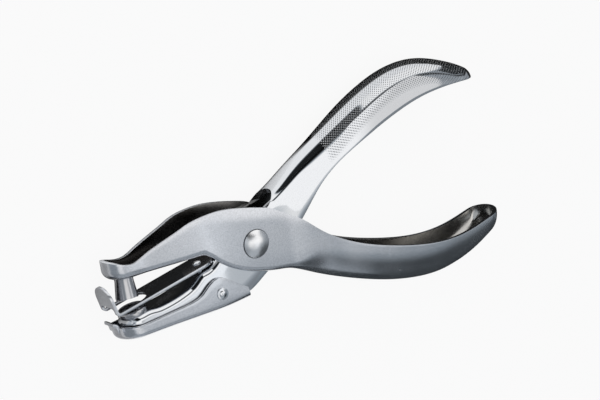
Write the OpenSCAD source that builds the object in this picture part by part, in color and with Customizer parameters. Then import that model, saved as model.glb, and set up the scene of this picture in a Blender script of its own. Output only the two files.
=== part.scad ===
// Plier hole punch: two pressed steel levers on one rivet, a flared punch in the upper jaw,
// a die and a stripper plate on the lower jaw, a chip receptacle under it and a torsion
// spring in the pivot. Sizes are in millimetres.
//
// The tool lies on its side. +Z is the pivot axis, X runs from the jaws (-X) to the
// handles (+X), and +Y is the side of the die lever's handle. The origin is on the pivot
// axis, in the plane of the flat that the rivet's lower head rests on.
// Each lever is drawn closed, with its jaw face along X and the pivot at the origin, and is
// then turned by half of the opening angle.

/* [Levers] */
// Thickness of the levers' steel sheet
sheet = 1.2; // [1:0.1:1.4]
// Distance from the pivot to the punch's centre line
punch_reach = 39.2; // [36:0.2:42]
// How far the jaws' noses stand ahead of the punch's centre line
nose_ahead = 5.7; // [5.3:0.1:6.6]
// Distance from the pivot to the tip of the punch lever's handle
punch_grip_reach = 84; // [78:0.5:92]
// Distance from the pivot to the tip of the die lever's handle
die_grip_reach = 85.4; // [79:0.5:93]
// Outer width of the handles at the grips
grip_w = 14; // [13:0.2:15]
// Outer width of the handles at their tips
tip_w = 12.6; // [11.6:0.2:13.4]
// Angle between the two jaw faces when the spring holds the tool open
opening_angle = 11; // [8:0.5:12]

/* [Pivot] */
// Outer width of the die lever, whose cheeks lie inside the punch lever's
die_lever_w = 10; // [9.6:0.1:10.4]
// Side clearance between the cheeks of the two levers
cheek_gap = 0.2; // [0.15:0.05:0.3]
// Diameter of the pivot rivet's shank
rivet_d = 5; // [4:0.2:5.6]
// Diameter of the rivet's domed heads
rivet_head_d = 8; // [7.4:0.2:9]
// Height of each domed head above the cheek
rivet_head_h = 1.9; // [1.5:0.1:2.4]
// How much of the lower head's dome is cut off for the flat that the tool rests on
rest_cut = 0.3; // [0.2:0.05:0.5]
// Outer diameter of the bush between the die lever's cheeks
bush_d = 7.2; // [6.8:0.1:7.6]
// Radial running clearance on the rivet
running_gap = 0.05; // [0.03:0.01:0.08]

/* [Punch and die] */
// Diameter of the punch at its cutting end
punch_d = 6.35; // [5.8:0.05:6.4]
// Diameter of the punch where it meets the jaw
punch_neck_d = 5.3; // [4.8:0.1:5.6]
// Diameter of the shank that is riveted through the jaw
punch_shank_d = 4; // [3.6:0.1:4.4]
// Length of the punch below the jaw
punch_len = 6.2; // [5.8:0.1:6.5]
// Radial clearance between the punch's edge and the die
die_clearance = 0.2; // [0.18:0.01:0.24]
// Outer diameter of the die's seat on the jaw
die_d = 8.6; // [8.2:0.1:9]
// Height of the die above the jaw
die_h = 1.3; // [1:0.1:1.6]

/* [Stripper plate] */
// Thickness of the stripper plate
plate_t = 0.8; // [0.6:0.1:1]
// Width of the stripper plate
plate_w = 9; // [8.8:0.1:9.4]
// Height of the plate's top above the die lever's jaw
plate_lift = 3.3; // [3:0.1:3.4]
// Width of the upturned fin at the plate's front
fin_w = 8.9; // [8.6:0.1:9]
// Height of the fin above the plate
fin_h = 8.8; // [7.4:0.1:10]
// Lean of the fin away from the jaws, in degrees
fin_lean = 2; // [1:0.5:6]
// Width of the slot that the punch passes through
slot_w = 7; // [6.8:0.05:7.2]

/* [Chip receptacle] */
// Thickness of the receptacle's sheet
tray_t = 0.9; // [0.7:0.1:1]
// Side clearance between the receptacle and the die lever
tray_gap = 0.25; // [0.2:0.05:0.3]
// Diameter of the studs that the receptacle swings on
stud_d = 2.2; // [1.8:0.1:2.6]
// Diameter of the studs' heads
stud_head_d = 3.4; // [3:0.1:4]

/* [Return spring] */
// Wire diameter of the torsion spring
wire_d = 1.2; // [1:0.05:1.3]
// Number of full turns round the bush
spring_turns = 3; // [2:1:3]
// Gap between neighbouring turns
turn_gap = 0.5; // [0.42:0.02:0.6]
// Length of each spring arm, from the pivot
arm_reach = 25; // [22:0.5:30]

/* [Hidden] */

// Widths that follow from the fits, as half-widths from the tool's middle plane
die_half = die_lever_w / 2;
die_inner_half = die_half - sheet;
punch_inner_half = die_half + cheek_gap;
punch_half = punch_inner_half + sheet;
tray_inner_half = die_half + tray_gap;
tray_half = tray_inner_half + tray_t;
grip_half = grip_w / 2;
tip_half = tip_w / 2;
// Height of the pivot's middle plane above the plane that the tool rests on
lift = punch_half + rivet_head_h;

// Jaw faces in the closed position, as heights above the line through the pivot
punch_face = 1.1;
die_face = -1.98;
// Outer radii of the bends between web and cheeks
jaw_bend = 2;
nose_bend = 1.7;
cheek_bend = 1.6;
grip_bend = 5;
// Smallest inner radius of a bend, and what a cheek keeps above a bend
tight_bend = 0.35;
edge_keep = 0.4;
// How far the web of a grip bulges between its bends
grip_crown = 0.5;
// Half-widths of the punch lever's jaw at the nose and at its waist
nose_half = 4.8;
waist_half = 4.5;
waist_x = -34.2;
// Where the cheeks become parallel round the pivot, and where the handles start to widen
flat_from = -15.2;
flat_to = 18.3;
widen_to = 47.8;
// Where each web is cut away so that the levers cross
punch_window = [-20.3, 11.3];
die_window = [-12.8, 13.2];
window_corner = 1.5;
nose_x = -punch_reach - nose_ahead;
die_nose_x = nose_x - 0.55;
// How far the rounded tip of a handle reaches past its last full section
tip_round = 4.5;
// Centres of the levers' rounded noses
punch_nose_centre = -punch_reach - 1.3;
die_nose_centre = nose_x + 0.6 + die_half;
// How far the cutters reach, and their margin over a face that they cut through
cut_reach = 20;
cut_over = 1;
// Top of the cutter for the punch lever's web, between the web and the cheeks' upper edges
punch_window_top = punch_face + sheet + 0.6;
// Bottom and height of the drills through the jaws' webs
drill_from = die_face - sheet - cut_over;
drill_h = 9;
// Height of the straight edge under the dome of the rivet's heads
head_edge = 0.5;

// Steps of the lofts
arc_steps = 4;
fan_steps = 8;
fine_step = 2;
fine_limit = 30;
coarse_step = 4;

// Curves of the levers in the closed position, each a list of [x, y]. A web is the outer
// face of the channel's back, and a rim is the open edge of its cheeks. Past the pivot x is
// given as a share of the handle's length from handle_x on.
handle_x = 15.8;
function on_handle(reach, share, y) = [handle_x + share * (reach - handle_x), y];
function handle_curve(reach, points) = [for (p = points) on_handle(reach, p[0], p[1])];

punch_web = concat(
    [[nose_x - 1, punch_face + 0.8], [-41.67, punch_face + 0.25], [-38.67, punch_face],
     [-34.17, punch_face], [-22.17, punch_face], [-18.17, punch_face + 0.05], [-15.77, 1.06],
     [-13.57, -0.45], [-11.47, -2.54], [-7.47, -5.34], [-2.17, -7.75], [3.83, -9.35],
     [10.33, -10.54]],
    handle_curve(punch_grip_reach,
        [[0.010, -13.35], [0.101, -16.55], [0.252, -21], [0.422, -25.15], [0.563, -27.3],
         [0.673, -27.7], [0.794, -26.1], [0.884, -23.35], [0.955, -20.15], [1.035, -15.14]]));
punch_rim = concat(
    [[nose_x - 1, 7.86], [-44.07, 7.05], [-42.17, 6.16], [-40.17, 5.46], [-38.17, 5.25],
     [-36.17, 5.46], [-34.37, 6.16], [-32.17, 6.91], [-27.17, 8.65], [-23.17, 9.96],
     [-18.87, 11.46], [-13.67, 12.15], [-8.67, 12.15], [-3.17, 11.26], [2.33, 9.86],
     [6.33, 8.55], [9.83, 6.46], [13.83, 3.96]],
    handle_curve(punch_grip_reach,
        [[0.021, 1.66], [0.071, -1.85], [0.121, -4.54], [0.191, -7.45], [0.282, -10.54],
         [0.462, -14.64], [0.623, -17.15], [0.734, -17.65], [0.824, -17.05], [0.914, -15.44],
         [1.035, -13.35]]));
die_web = concat(
    [[die_nose_x, die_face], [-38.31, die_face], [-35.91, die_face - 0.05], [-34.31, -2.48],
     [-32.31, -2.88], [-28.31, -3.03], [-25.31, -2.88], [-21.81, -2.38], [-19.61, -1.38],
     [-18.11, -0.48], [-16.51, -0.38], [-14.81, -0.38], [-13.51, 0.02], [-12.31, 0.62],
     [-9.31, 2.72], [-4.31, 5.52], [1.69, 7.92], [6.69, 8.72], [10.69, 9.32]],
    handle_curve(die_grip_reach,
        [[-0.002, 10.97], [0.059, 12.72], [0.130, 14.57], [0.272, 17.92], [0.414, 21.52],
         [0.545, 23.72], [0.657, 24.47], [0.778, 23.17], [0.859, 20.32], [0.930, 16.92],
         [1.032, 11.32]]));
die_rim = concat(
    [[die_nose_x, -5.48], [-36.31, -5.68], [-26.31, -6.68], [-18.31, -8.28], [-12.31, -11.08],
     [-8.81, -12.28], [-4.81, -11.88], [0.19, -10.08], [6.69, -7.48], [13.69, -2.88]],
    handle_curve(die_grip_reach,
        [[0.079, 2.12], [0.140, 5.37], [0.201, 7.62], [0.282, 9.72], [0.434, 12.12],
         [0.586, 13.72], [0.707, 14.12], [0.829, 13.12], [0.940, 11.42], [1.032, 9.92]]));

// The receptacle's floor and the upper edge of its walls
tray_nose_x = die_nose_x - 0.3 - tray_t;
tray_floor = [[tray_nose_x - 1, -6.78], [-40.31, -8.08], [-31.31, -9.63], [-23.31, -11.13],
              [-14.31, -12.73], [-6.31, -13.48], [1.69, -13.98]];
tray_rim = [[tray_nose_x - 1, -2.88], [-45.11, -3.28], [-43.31, -3.98], [-39.31, -4.68],
            [-30.81, -5.58], [-23.81, -6.18], [-20.71, -5.78], [-17.91, -4.28],
            [-15.31, -3.48], [-12.91, -4.18], [-9.31, -7.48], [-6.31, -10.68], [-2.31, -12.38],
            [1.69, -12.88]];
tray_bend = 1.6;
// Centre of the studs, the end of the receptacle's floor and of its walls
stud_at = [-14.9, -8.1];
tray_floor_end = -17.3;
tray_end = -6.7;
// The receptacle is drawn a little longer than it is and is then cut square at its end
tray_spare = 6;
tray_spare_reach = 0.3;

// Punch and die, from the jaw's face
// The punch swings in, so the die's centre stands between where the tip enters and ends
tip_y = punch_face - punch_len;
entry_turn = asin((die_face + die_h - tip_y) / punch_reach);
die_x = (tip_y * sin(entry_turn) - punch_reach * (1 + cos(entry_turn))) / 2;
die_bore_d = punch_d + 2 * die_clearance;
die_spigot_d = 2 * die_inner_half - 0.2;
punch_land = 0.5;
punch_root = 1.2;
stake_d = 5;
stake_top_d = 2.6;
stake_h = 0.8;
edge_break = 0.3;
saddle_r = 7;
saddle_depth = 0.6;
// Relief notches beside the flap that closes the die lever's nose
notch_x = die_nose_x + 2.9;
notch_w = 0.8;
notch_y = [-3.9, -1.2];

// Stripper plate: its upper face, its rear end and the place of its rivet
plate_top = die_face + plate_lift;
plate_end = -11.8;
plate_rivet_x = -16.4;
plate_rivet_d = 1.6;
plate_rivet_head_d = 2.9;
plate_rivet_head_h = 0.7;
plate_rivet_edge = 0.2;
plate_rivet_tail_h = 0.5;
rivet_seat = 0.15;
// Inner radius of the bend at the fin's foot, how far the pieces of the bent strip lap into
// each other, the radius of the fin's upper corners and the height of the opening at its foot
fin_bend = 0.6;
lap = 0.1;
fin_corner = 4.2;
fin_arch = 1.3;
// Inner face of the fin at its foot, clear of the closed punch lever's nose
fin_x = nose_x - 0.25;
// How far the slot for the punch runs behind the punch's centre line
slot_behind = 5.2;

// Curled lip at the receptacle's front, for a thumbnail
lip_w = 5;
lip_r = 1.2;
lip_turn = 75;
lip_y = -3.2;
lip_foot = 1.2;
// Slits that part the receptacle's front flap from its walls
slit_x = [tray_nose_x + 0.95, tray_nose_x + 1.55];
slit_z = 3.3;
slit_y = -4.5;
slit_h = 5;
slit_depth = 3;
// Shape of the studs' heads: a flat ring with a dome on it
stud_ring_h = 0.35;
stud_dome_d = 2.2;
stud_dome_h = 0.45;
stud_dome_edge = 0.1;

// Spring: middle radius of its turns, its pitch, the angles of its arms in the punch lever
// and in the die lever, and the foot at each arm's end
coil_r = bush_d / 2 + 0.3 + wire_d / 2;
pitch = wire_d + turn_gap;
punch_arm_angle = 19;
die_arm_angle = 14;
foot_len = 4.5;
foot_gap = 0.12;
rings_per_turn = 8;
wire_sides = 6;

// Smooth step from 0 to 1, and the same between two values over a stretch of x
function smooth(t) = let (u = max(0, min(1, t))) u * u * (3 - 2 * u);
function ease(x, x0, x1, v0, v1) = v0 + (v1 - v0) * smooth((x - x0) / (x1 - x0));

// Height of a smooth curve through a list of points, at x
function span(points, x, i = 0) =
    (i >= len(points) - 2 || x < points[i + 1][0]) ? i : span(points, x, i + 1);
function slope(points, i) =
    let (a = max(0, i - 1), b = min(len(points) - 1, i + 1))
    (points[b][1] - points[a][1]) / (points[b][0] - points[a][0]);
function curve(points, x) =
    let (i = span(points, x),
         step = points[i + 1][0] - points[i][0],
         u = (x - points[i][0]) / step,
         rise = points[i + 1][1] - points[i][1],
         s0 = slope(points, i) * step,
         s1 = slope(points, i + 1) * step)
    points[i][1] + u * (s0 + u * (3 * rise - 2 * s0 - s1 + u * (s0 + s1 - 2 * rise)));

// Half-width and bend radius of each channel at x
function punch_half_at(x) =
    x < waist_x ? ease(x, -punch_reach, waist_x, nose_half, waist_half)
    : x < flat_to ? ease(x, waist_x, flat_from, waist_half, punch_half)
    : x < widen_to ? ease(x, flat_to, widen_to, punch_half, grip_half)
    : ease(x, widen_to + 8, punch_grip_reach, grip_half, tip_half);
function punch_bend_at(x) =
    x < flat_from ? ease(x, -punch_reach, waist_x, nose_bend, jaw_bend)
    : ease(x, handle_x - 4, widen_to - 6, cheek_bend, grip_bend);
function die_half_at(x) =
    x < widen_to ? ease(x, flat_to, widen_to, die_half, grip_half)
    : ease(x, widen_to + 8, die_grip_reach, grip_half, tip_half);
function die_bend_at(x) =
    x < flat_from ? jaw_bend : ease(x, handle_x - 4, widen_to - 6, jaw_bend, grip_bend);
function crown_at(x) = ease(x, handle_x, widen_to, 0, grip_crown);

// Half of a channel's section from the rim to the middle of the web, as [across, depth].
// The depth counts from the web's outer face. The skin is 0 for the outer face of the
// sheet and its thickness for the inner face.
function section(half, height, bend, crown, skin) =
    let (bulge = min(crown, height / 4),
         outer_bend = max(tight_bend, min(bend, height - bulge - edge_keep)),
         inner_bend = min(max(outer_bend - skin, tight_bend), height - bulge - skin),
         side = half - skin,
         flat = side - inner_bend,
         base = bulge + skin)
    concat(
        [[side, height], [side, (height + base + inner_bend) / 2]],
        [for (k = [0:arc_steps]) let (turn = 90 * k / arc_steps)
            [flat + inner_bend * cos(turn), base + inner_bend * (1 - sin(turn))]],
        [[flat / 2, skin + bulge / 4], [0, skin]]);

// Stations along a channel: fine steps to the first limit, then coarse ones
function stations(from, fine_to, to) =
    let (fine = ceil((fine_to - from) / fine_step), coarse = ceil((to - fine_to) / coarse_step))
    concat([for (i = [0:fine - 1]) from + i * (fine_to - from) / fine],
           [for (i = [0:coarse]) fine_to + i * (to - fine_to) / coarse]);

// Ribs in order round the channel, as [x of the foot, direction in plan, reach]
function ribs(xs, nose_reach, tip_reach) =
    let (last = len(xs) - 1)
    concat([for (i = [last:-1:0]) [xs[i], 90, 1]],
           [for (k = [1:fan_steps - 1]) [xs[0], 90 + 180 * k / fan_steps, nose_reach]],
           [for (i = [0:last]) [xs[i], 270, 1]],
           [for (k = [1:fan_steps - 1]) [xs[last], 270 + 180 * k / fan_steps, tip_reach]]);

// A pressed channel with a rounded nose and tip. The data are [web, rim, side that the
// channel opens to, sheet]. Its faces are the outer skin, the inner skin and the rim.
module channel(data, xs, halves, bends, crowns, nose_reach, tip_reach) {
    web = data[0];
    rim = data[1];
    side = data[2];
    thickness = data[3];
    order = ribs(xs, nose_reach, tip_reach);
    count = len(order);
    row = arc_steps + 5;
    points = [for (skin = [0, thickness], n = [0:count - 1])
        let (rib = order[n],
             last = len(xs) - 1,
             at = n <= last ? last - n
                : n < last + fan_steps ? 0
                : n <= 2 * last + fan_steps ? n - last - fan_steps : last,
             half = halves[at],
             wall_x = rib[0] + half * rib[2] * cos(rib[1]),
             height = side * (curve(rim, wall_x) - curve(web, wall_x)))
        for (p = section(half, height, bends[at], crowns[at], skin))
            let (x = rib[0] + p[0] * rib[2] * cos(rib[1]))
            [x, curve(web, x) + side * p[1], p[0] * sin(rib[1])]];
    function at(skin, n, j) = skin * count * row + (n % count) * row + j;
    function pair(a, b, c, d, pinched) =
        pinched ? [[a, b, d]] : [[a, b, d], [b, c, d]];
    skins = [for (n = [0:count - 1], j = [0:row - 2])
        let (pinched = j == row - 2 && order[n][0] == order[(n + 1) % count][0])
        each concat(
            pair(at(0, n, j), at(0, n + 1, j), at(0, n + 1, j + 1), at(0, n, j + 1), pinched),
            pair(at(1, n + 1, j), at(1, n, j), at(1, n, j + 1), at(1, n + 1, j + 1), pinched))];
    edge = [for (n = [0:count - 1])
        each pair(at(1, n, 0), at(1, n + 1, 0), at(0, n + 1, 0), at(0, n, 0), false)];
    faces = concat(skins, edge);
    polyhedron(points, side < 0 ? faces : [for (f = faces) [f[2], f[1], f[0]]], convexity = 8);
}

// Puts a lever and what rides on it into its place when the tool is open
module with_punch_lever() {
    translate([0, 0, lift]) rotate([0, 0, -opening_angle / 2]) children();
}

module with_die_lever() {
    translate([0, 0, lift]) rotate([0, 0, opening_angle / 2]) children();
}

// A cylinder along the pivot axis through the whole tool
module cross_bore(d) {
    translate([0, 0, -lift]) cylinder(d = d, h = 2 * lift, $fn = 48);
}

// A cutter for a web: a slab with rounded corners, across from low to high x
module web_window(limits, half, low, high) {
    translate([0, high, 0]) rotate([90, 0, 0]) linear_extrude(high - low)
        hull()
            for (x = [limits[0] + window_corner, limits[1] - window_corner],
                 z = [-half + window_corner, half - window_corner])
                translate([x, z]) circle(window_corner, $fn = 32);
}

module punch_lever() {
    xs = stations(punch_nose_centre, fine_limit, punch_grip_reach - tip_round);
    color([0.8, 0.81, 0.83])
    with_punch_lever() difference() {
        channel([punch_web, punch_rim, 1, sheet], xs,
                [for (x = xs) punch_half_at(x)], [for (x = xs) punch_bend_at(x)],
                [for (x = xs) crown_at(x)],
                (punch_nose_centre - nose_x) / nose_half, tip_round / tip_half);
        web_window(punch_window, punch_inner_half, -cut_reach, punch_window_top);
        cross_bore(rivet_d);
        jaw_hole(-punch_reach, punch_shank_d);
    }
}

module die_lever() {
    xs = stations(die_nose_centre, fine_limit, die_grip_reach - tip_round);
    color([0.83, 0.84, 0.86])
    with_die_lever() difference() {
        channel([die_web, die_rim, -1, sheet], xs,
                [for (x = xs) die_half_at(x)], [for (x = xs) die_bend_at(x)],
                [for (x = xs) crown_at(x)], 1, tip_round / tip_half);
        web_window(die_window, die_inner_half, -cut_reach, cut_reach);
        cross_bore(rivet_d + 2 * running_gap);
        jaw_hole(die_x, die_spigot_d);
        translate([stud_at[0], stud_at[1], 0]) cross_bore(stud_d);
        jaw_hole(plate_rivet_x, plate_rivet_d);
        for (side = [-1, 1])
            translate([notch_x, notch_y[0], side * die_half - die_half / 2])
                cube([notch_w, notch_y[1] - notch_y[0], die_half]);
    }
}

// A hole through a jaw's web, square to it
module jaw_hole(x, d) {
    translate([x, drill_from, 0]) rotate([-90, 0, 0]) cylinder(d = d, h = drill_h, $fn = 48);
}

// A domed head standing on the plane z = 0
module dome(d, h, edge) {
    cap = h - edge;
    r = (d * d / 4 + cap * cap) / (2 * cap);
    intersection() {
        translate([0, 0, h - r]) sphere(r, $fn = 96);
        cylinder(d = d, h = h, $fn = 96);
    }
}

module pivot_rivet() {
    color([0.86, 0.87, 0.88])
    translate([0, 0, lift]) {
        cylinder(d = rivet_d, h = 2 * punch_half, center = true, $fn = 64);
        translate([0, 0, punch_half]) dome(rivet_head_d, rivet_head_h, head_edge);
        // The lower head stands taller and is cut back to the flat that the tool rests on
        translate([0, 0, -punch_half]) mirror([0, 0, 1]) intersection() {
            dome(rivet_head_d, rivet_head_h + rest_cut, head_edge);
            cylinder(d = rivet_head_d + cut_over, h = rivet_head_h, $fn = 64);
        }
    }
}

module pivot_bush() {
    color([0.7, 0.71, 0.73])
    translate([0, 0, lift]) difference() {
        cylinder(d = bush_d, h = 2 * (die_inner_half - cheek_gap), center = true, $fn = 64);
        cross_bore(rivet_d + 2 * running_gap);
    }
}

module punch_pin() {
    color([0.75, 0.76, 0.78])
    with_punch_lever() translate([-punch_reach, punch_face, 0]) difference() {
        rotate([-90, 0, 0]) rotate_extrude($fn = 96) polygon([
            [0, -punch_len],
            [punch_d / 2, -punch_len],
            [punch_d / 2, punch_land - punch_len],
            [punch_neck_d / 2, -punch_root],
            [punch_neck_d / 2, 0],
            [punch_shank_d / 2, 0],
            [punch_shank_d / 2, sheet],
            [stake_d / 2, sheet],
            [stake_d / 2 - edge_break, sheet + stake_h * 0.6],
            [stake_top_d / 2, sheet + stake_h],
            [0, sheet + stake_h]]);
        translate([0, saddle_depth - punch_len - saddle_r, 0])
            cylinder(r = saddle_r, h = 2 * punch_d, center = true, $fn = 96);
    }
}

module die() {
    color([0.62, 0.63, 0.65])
    with_die_lever() translate([die_x, die_face, 0]) rotate([-90, 0, 0])
        rotate_extrude($fn = 96) polygon([
            [die_bore_d / 2, -sheet],
            [die_spigot_d / 2, -sheet],
            [die_spigot_d / 2, 0],
            [die_d / 2, 0],
            [die_d / 2, die_h - edge_break],
            [die_d / 2 - edge_break, die_h],
            [die_bore_d / 2, die_h]]);
}

// Direction from the centre of the fin's bend to one of its seven corners
function fin_arc(k) = let (turn = 270 - (90 - fin_lean) * k / 6) [cos(turn), sin(turn)];

// Outline of an upright plate with two rounded upper corners
module rounded_top(w, h, r) {
    translate([-w / 2, 0]) square([w, h - r]);
    translate([r - w / 2, 0]) square([w - 2 * r, h]);
    for (side = [-1, 1]) translate([side * (w / 2 - r), h - r]) circle(r, $fn = 64);
}

// A plan outline as a plate, with its upper face at the given height
module plate(top, thickness) {
    translate([0, top, 0]) rotate([90, 0, 0]) linear_extrude(thickness) children();
}

module stripper_plate() {
    bend_x = fin_x + fin_bend;
    outer = fin_bend + plate_t;
    slot_to = -punch_reach + slot_behind - slot_w / 2;
    rear = plate_end - plate_w / 2;
    color([0.78, 0.8, 0.82])
    with_die_lever() {
        plate(plate_top, plate_t) difference() {
            union() {
                translate([bend_x, -plate_w / 2]) square([rear - bend_x, plate_w]);
                translate([rear, 0]) circle(d = plate_w, $fn = 64);
            }
            translate([bend_x - lap, -slot_w / 2]) square([slot_to - bend_x + lap, slot_w]);
            translate([slot_to, 0]) circle(d = slot_w, $fn = 64);
            translate([plate_rivet_x, 0]) circle(d = plate_rivet_d, $fn = 48);
        }
        // Two bent legs beside the slot, and the fin that stands on them
        translate([bend_x, plate_top + fin_bend, 0]) {
            difference() {
                linear_extrude(fin_w, center = true) polygon(concat(
                    [[lap, -outer]],
                    [for (k = [0:6]) outer * fin_arc(k)],
                    [for (k = [6:-1:0]) fin_bend * fin_arc(k)],
                    [[lap, -fin_bend]]));
                cube([4 * outer, 4 * outer, slot_w], center = true);
            }
            rotate([0, 0, fin_lean]) translate([-outer, -lap, 0]) rotate([0, 90, 0])
                linear_extrude(plate_t) difference() {
                    rounded_top(fin_w, fin_h - outer, fin_corner);
                    translate([-slot_w / 2, -1]) square([slot_w, fin_arch + 1]);
                }
        }
    }
}

module stripper_rivet() {
    web_y = curve(die_web, plate_rivet_x);
    under = plate_top - plate_t;
    tail_top = web_y - sheet - rivet_seat;
    color([0.8, 0.81, 0.82])
    with_die_lever() translate([plate_rivet_x, 0, 0]) rotate([-90, 0, 0]) {
        translate([0, 0, plate_top]) dome(plate_rivet_head_d, plate_rivet_head_h, plate_rivet_edge);
        translate([0, 0, tail_top - lap])
            cylinder(d = plate_rivet_d, h = plate_top - tail_top + 2 * lap, $fn = 48);
        // Collar that carries the plate above the web, and the tail under the web
        translate([0, 0, web_y + rivet_seat])
            cylinder(d = plate_rivet_head_d, h = under - web_y - rivet_seat, $fn = 48);
        translate([0, 0, tail_top - plate_rivet_tail_h])
            cylinder(d = plate_rivet_head_d, h = plate_rivet_tail_h, $fn = 48);
    }
}

module chip_receptacle() {
    nose_centre = tray_nose_x + tray_half;
    xs = stations(nose_centre, tray_end, tray_end + tray_spare);
    lip_x = tray_nose_x - lip_r;
    color([0.74, 0.77, 0.8])
    with_die_lever() {
        difference() {
            channel([tray_floor, tray_rim, 1, tray_t], xs,
                    [for (x = xs) tray_half], [for (x = xs) tray_bend], [for (x = xs) 0],
                    1, tray_spare_reach);
            web_window([tray_floor_end, cut_reach], tray_inner_half, -cut_reach, 0);
            translate([stud_at[0], stud_at[1], 0]) cross_bore(stud_d + 2 * running_gap);
            translate([tray_end, -cut_reach, -tray_half - cut_over])
                cube([cut_reach, 2 * cut_reach, 2 * (tray_half + cut_over)]);
            for (side = [-1, 1])
                translate([slit_x[0], slit_y, side > 0 ? slit_z : -slit_z - slit_depth])
                    cube([slit_x[1] - slit_x[0], slit_h, slit_depth]);
        }
        translate([lip_x, lip_y, 0])
            linear_extrude(lip_w, center = true) polygon(concat(
                [[lip_r + tray_t, -lip_foot]],
                [for (k = [0:6]) (lip_r + tray_t) * [cos(lip_turn * k / 6), sin(lip_turn * k / 6)]],
                [for (k = [6:-1:0]) lip_r * [cos(lip_turn * k / 6), sin(lip_turn * k / 6)]],
                [[lip_r, -lip_foot]]));
    }
}

module receptacle_studs() {
    color([0.84, 0.85, 0.86])
    with_die_lever() for (side = [0, 1]) mirror([0, 0, side])
        translate([stud_at[0], stud_at[1], die_inner_half]) {
            shank = tray_half + running_gap - die_inner_half;
            cylinder(d = stud_d, h = shank, $fn = 48);
            translate([0, 0, shank]) cylinder(d = stud_head_d, h = stud_ring_h, $fn = 48);
            translate([0, 0, shank + stud_ring_h]) dome(stud_dome_d, stud_dome_h, stud_dome_edge);
        }
}

// Path of one spring arm in its lever's frame, from the coil outwards. The arm leaves the
// coil along a tangent and ends in a foot that presses on the inside of the handle's web.
function arm(web, side, angle) =
    let (start = coil_r * [-sin(angle), side * cos(angle)],
         direction = [cos(angle), side * sin(angle)],
         straight = (arm_reach - foot_len - start[0]) / direction[0],
         bend = start + straight * direction,
         middle = bend + foot_len * 0.6 * direction,
         end = [arm_reach, curve(web, arm_reach)
                - side * (sheet + crown_at(arm_reach) + wire_d / 2 + foot_gap)])
    concat([start, start + straight / 2 * direction],
           [for (k = [0:4]) let (u = k / 4)
               (1 - u) * (1 - u) * bend + 2 * u * (1 - u) * middle + u * u * end]);

function turned(points, angle, z) =
    [for (p = points) [p[0] * cos(angle) - p[1] * sin(angle),
                       p[0] * sin(angle) + p[1] * cos(angle), z]];

function reversed(list) = [for (i = [len(list) - 1:-1:0]) list[i]];

// The wire's centre line at rest: the punch lever's arm, the turns and the die lever's arm
spring_from = -90 - punch_arm_angle - opening_angle / 2;
spring_sweep = 360 * (spring_turns + 1) - 180 - punch_arm_angle - die_arm_angle - opening_angle;
spring_rise = pitch * spring_sweep / 360;
spring_rings = ceil(rings_per_turn * spring_sweep / 360);
spring_path = concat(
    reversed(turned(arm(punch_web, -1, punch_arm_angle), -opening_angle / 2, -spring_rise / 2)),
    [for (k = [1:spring_rings - 1])
        let (turn = spring_from - spring_sweep * k / spring_rings)
        [coil_r * cos(turn), coil_r * sin(turn), spring_rise * (k / spring_rings - 0.5)]],
    turned(arm(die_web, 1, die_arm_angle), opening_angle / 2, spring_rise / 2));
wire_gap = min([for (i = [0:len(spring_path) - 1], j = [i + 5:len(spring_path) - 1])
    norm(spring_path[i] - spring_path[j])]) - wire_d;
echo(spring_wire_gap = wire_gap);

// A round wire along a path: the rings stay square to it and upright to the pivot axis
module wire(path, d) {
    last = len(path) - 1;
    rings = [for (i = [0:last])
        let (ahead = path[min(last, i + 1)] - path[max(0, i - 1)],
             tangent = ahead / norm(ahead),
             flat = cross([0, 0, 1], tangent),
             out = flat / norm(flat),
             top = cross(tangent, out))
        [for (k = [0:wire_sides - 1]) let (turn = 360 * k / wire_sides)
            path[i] + d / 2 * (cos(turn) * out + sin(turn) * top)]];
    sides = [for (i = [0:last - 1], k = [0:wire_sides - 1])
        let (a = i * wire_sides + k, b = i * wire_sides + (k + 1) % wire_sides)
        each [[a, b + wire_sides, b], [a, a + wire_sides, b + wire_sides]]];
    start = [for (k = [0:wire_sides - 1]) k];
    end = [for (k = [wire_sides - 1:-1:0]) last * wire_sides + k];
    polyhedron([for (ring = rings) each ring], concat(sides, [start], [end]), convexity = 8);
}

module return_spring() {
    color([0.55, 0.57, 0.6])
    translate([0, 0, lift]) wire(spring_path, wire_d);
}

punch_lever();
die_lever();
pivot_rivet();
pivot_bush();
return_spring();
punch_pin();
die();
stripper_plate();
stripper_rivet();
chip_receptacle();
receptacle_studs();
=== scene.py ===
# %% [markdown]
# # Plier hole punch
# This lesson dresses a hand-held hole punch of chromed steel. The packed CAD model is the
# fixed frame: it says where every piece sits and how it moves. The pieces that are seen
# are then made again here with finer curves and rounded edges, because chrome shows every
# facet as a broken reflection.

# %% Load the frame
import math

import bmesh
import bpy
import numpy as np
from mathutils import Matrix, Vector


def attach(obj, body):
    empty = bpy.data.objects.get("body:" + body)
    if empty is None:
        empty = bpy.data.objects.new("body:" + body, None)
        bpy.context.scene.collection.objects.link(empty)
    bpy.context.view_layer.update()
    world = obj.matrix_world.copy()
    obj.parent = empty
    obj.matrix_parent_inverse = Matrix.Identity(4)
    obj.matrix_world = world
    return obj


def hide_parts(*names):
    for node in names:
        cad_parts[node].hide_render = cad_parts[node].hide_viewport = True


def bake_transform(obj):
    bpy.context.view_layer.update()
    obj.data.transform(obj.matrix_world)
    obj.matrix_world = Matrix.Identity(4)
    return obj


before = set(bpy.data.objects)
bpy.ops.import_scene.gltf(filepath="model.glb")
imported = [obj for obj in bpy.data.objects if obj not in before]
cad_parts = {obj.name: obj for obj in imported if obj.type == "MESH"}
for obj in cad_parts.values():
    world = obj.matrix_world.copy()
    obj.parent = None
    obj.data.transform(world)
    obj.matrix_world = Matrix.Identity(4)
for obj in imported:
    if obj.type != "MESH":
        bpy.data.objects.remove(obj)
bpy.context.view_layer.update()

print("nodes:", sorted(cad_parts))

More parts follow.
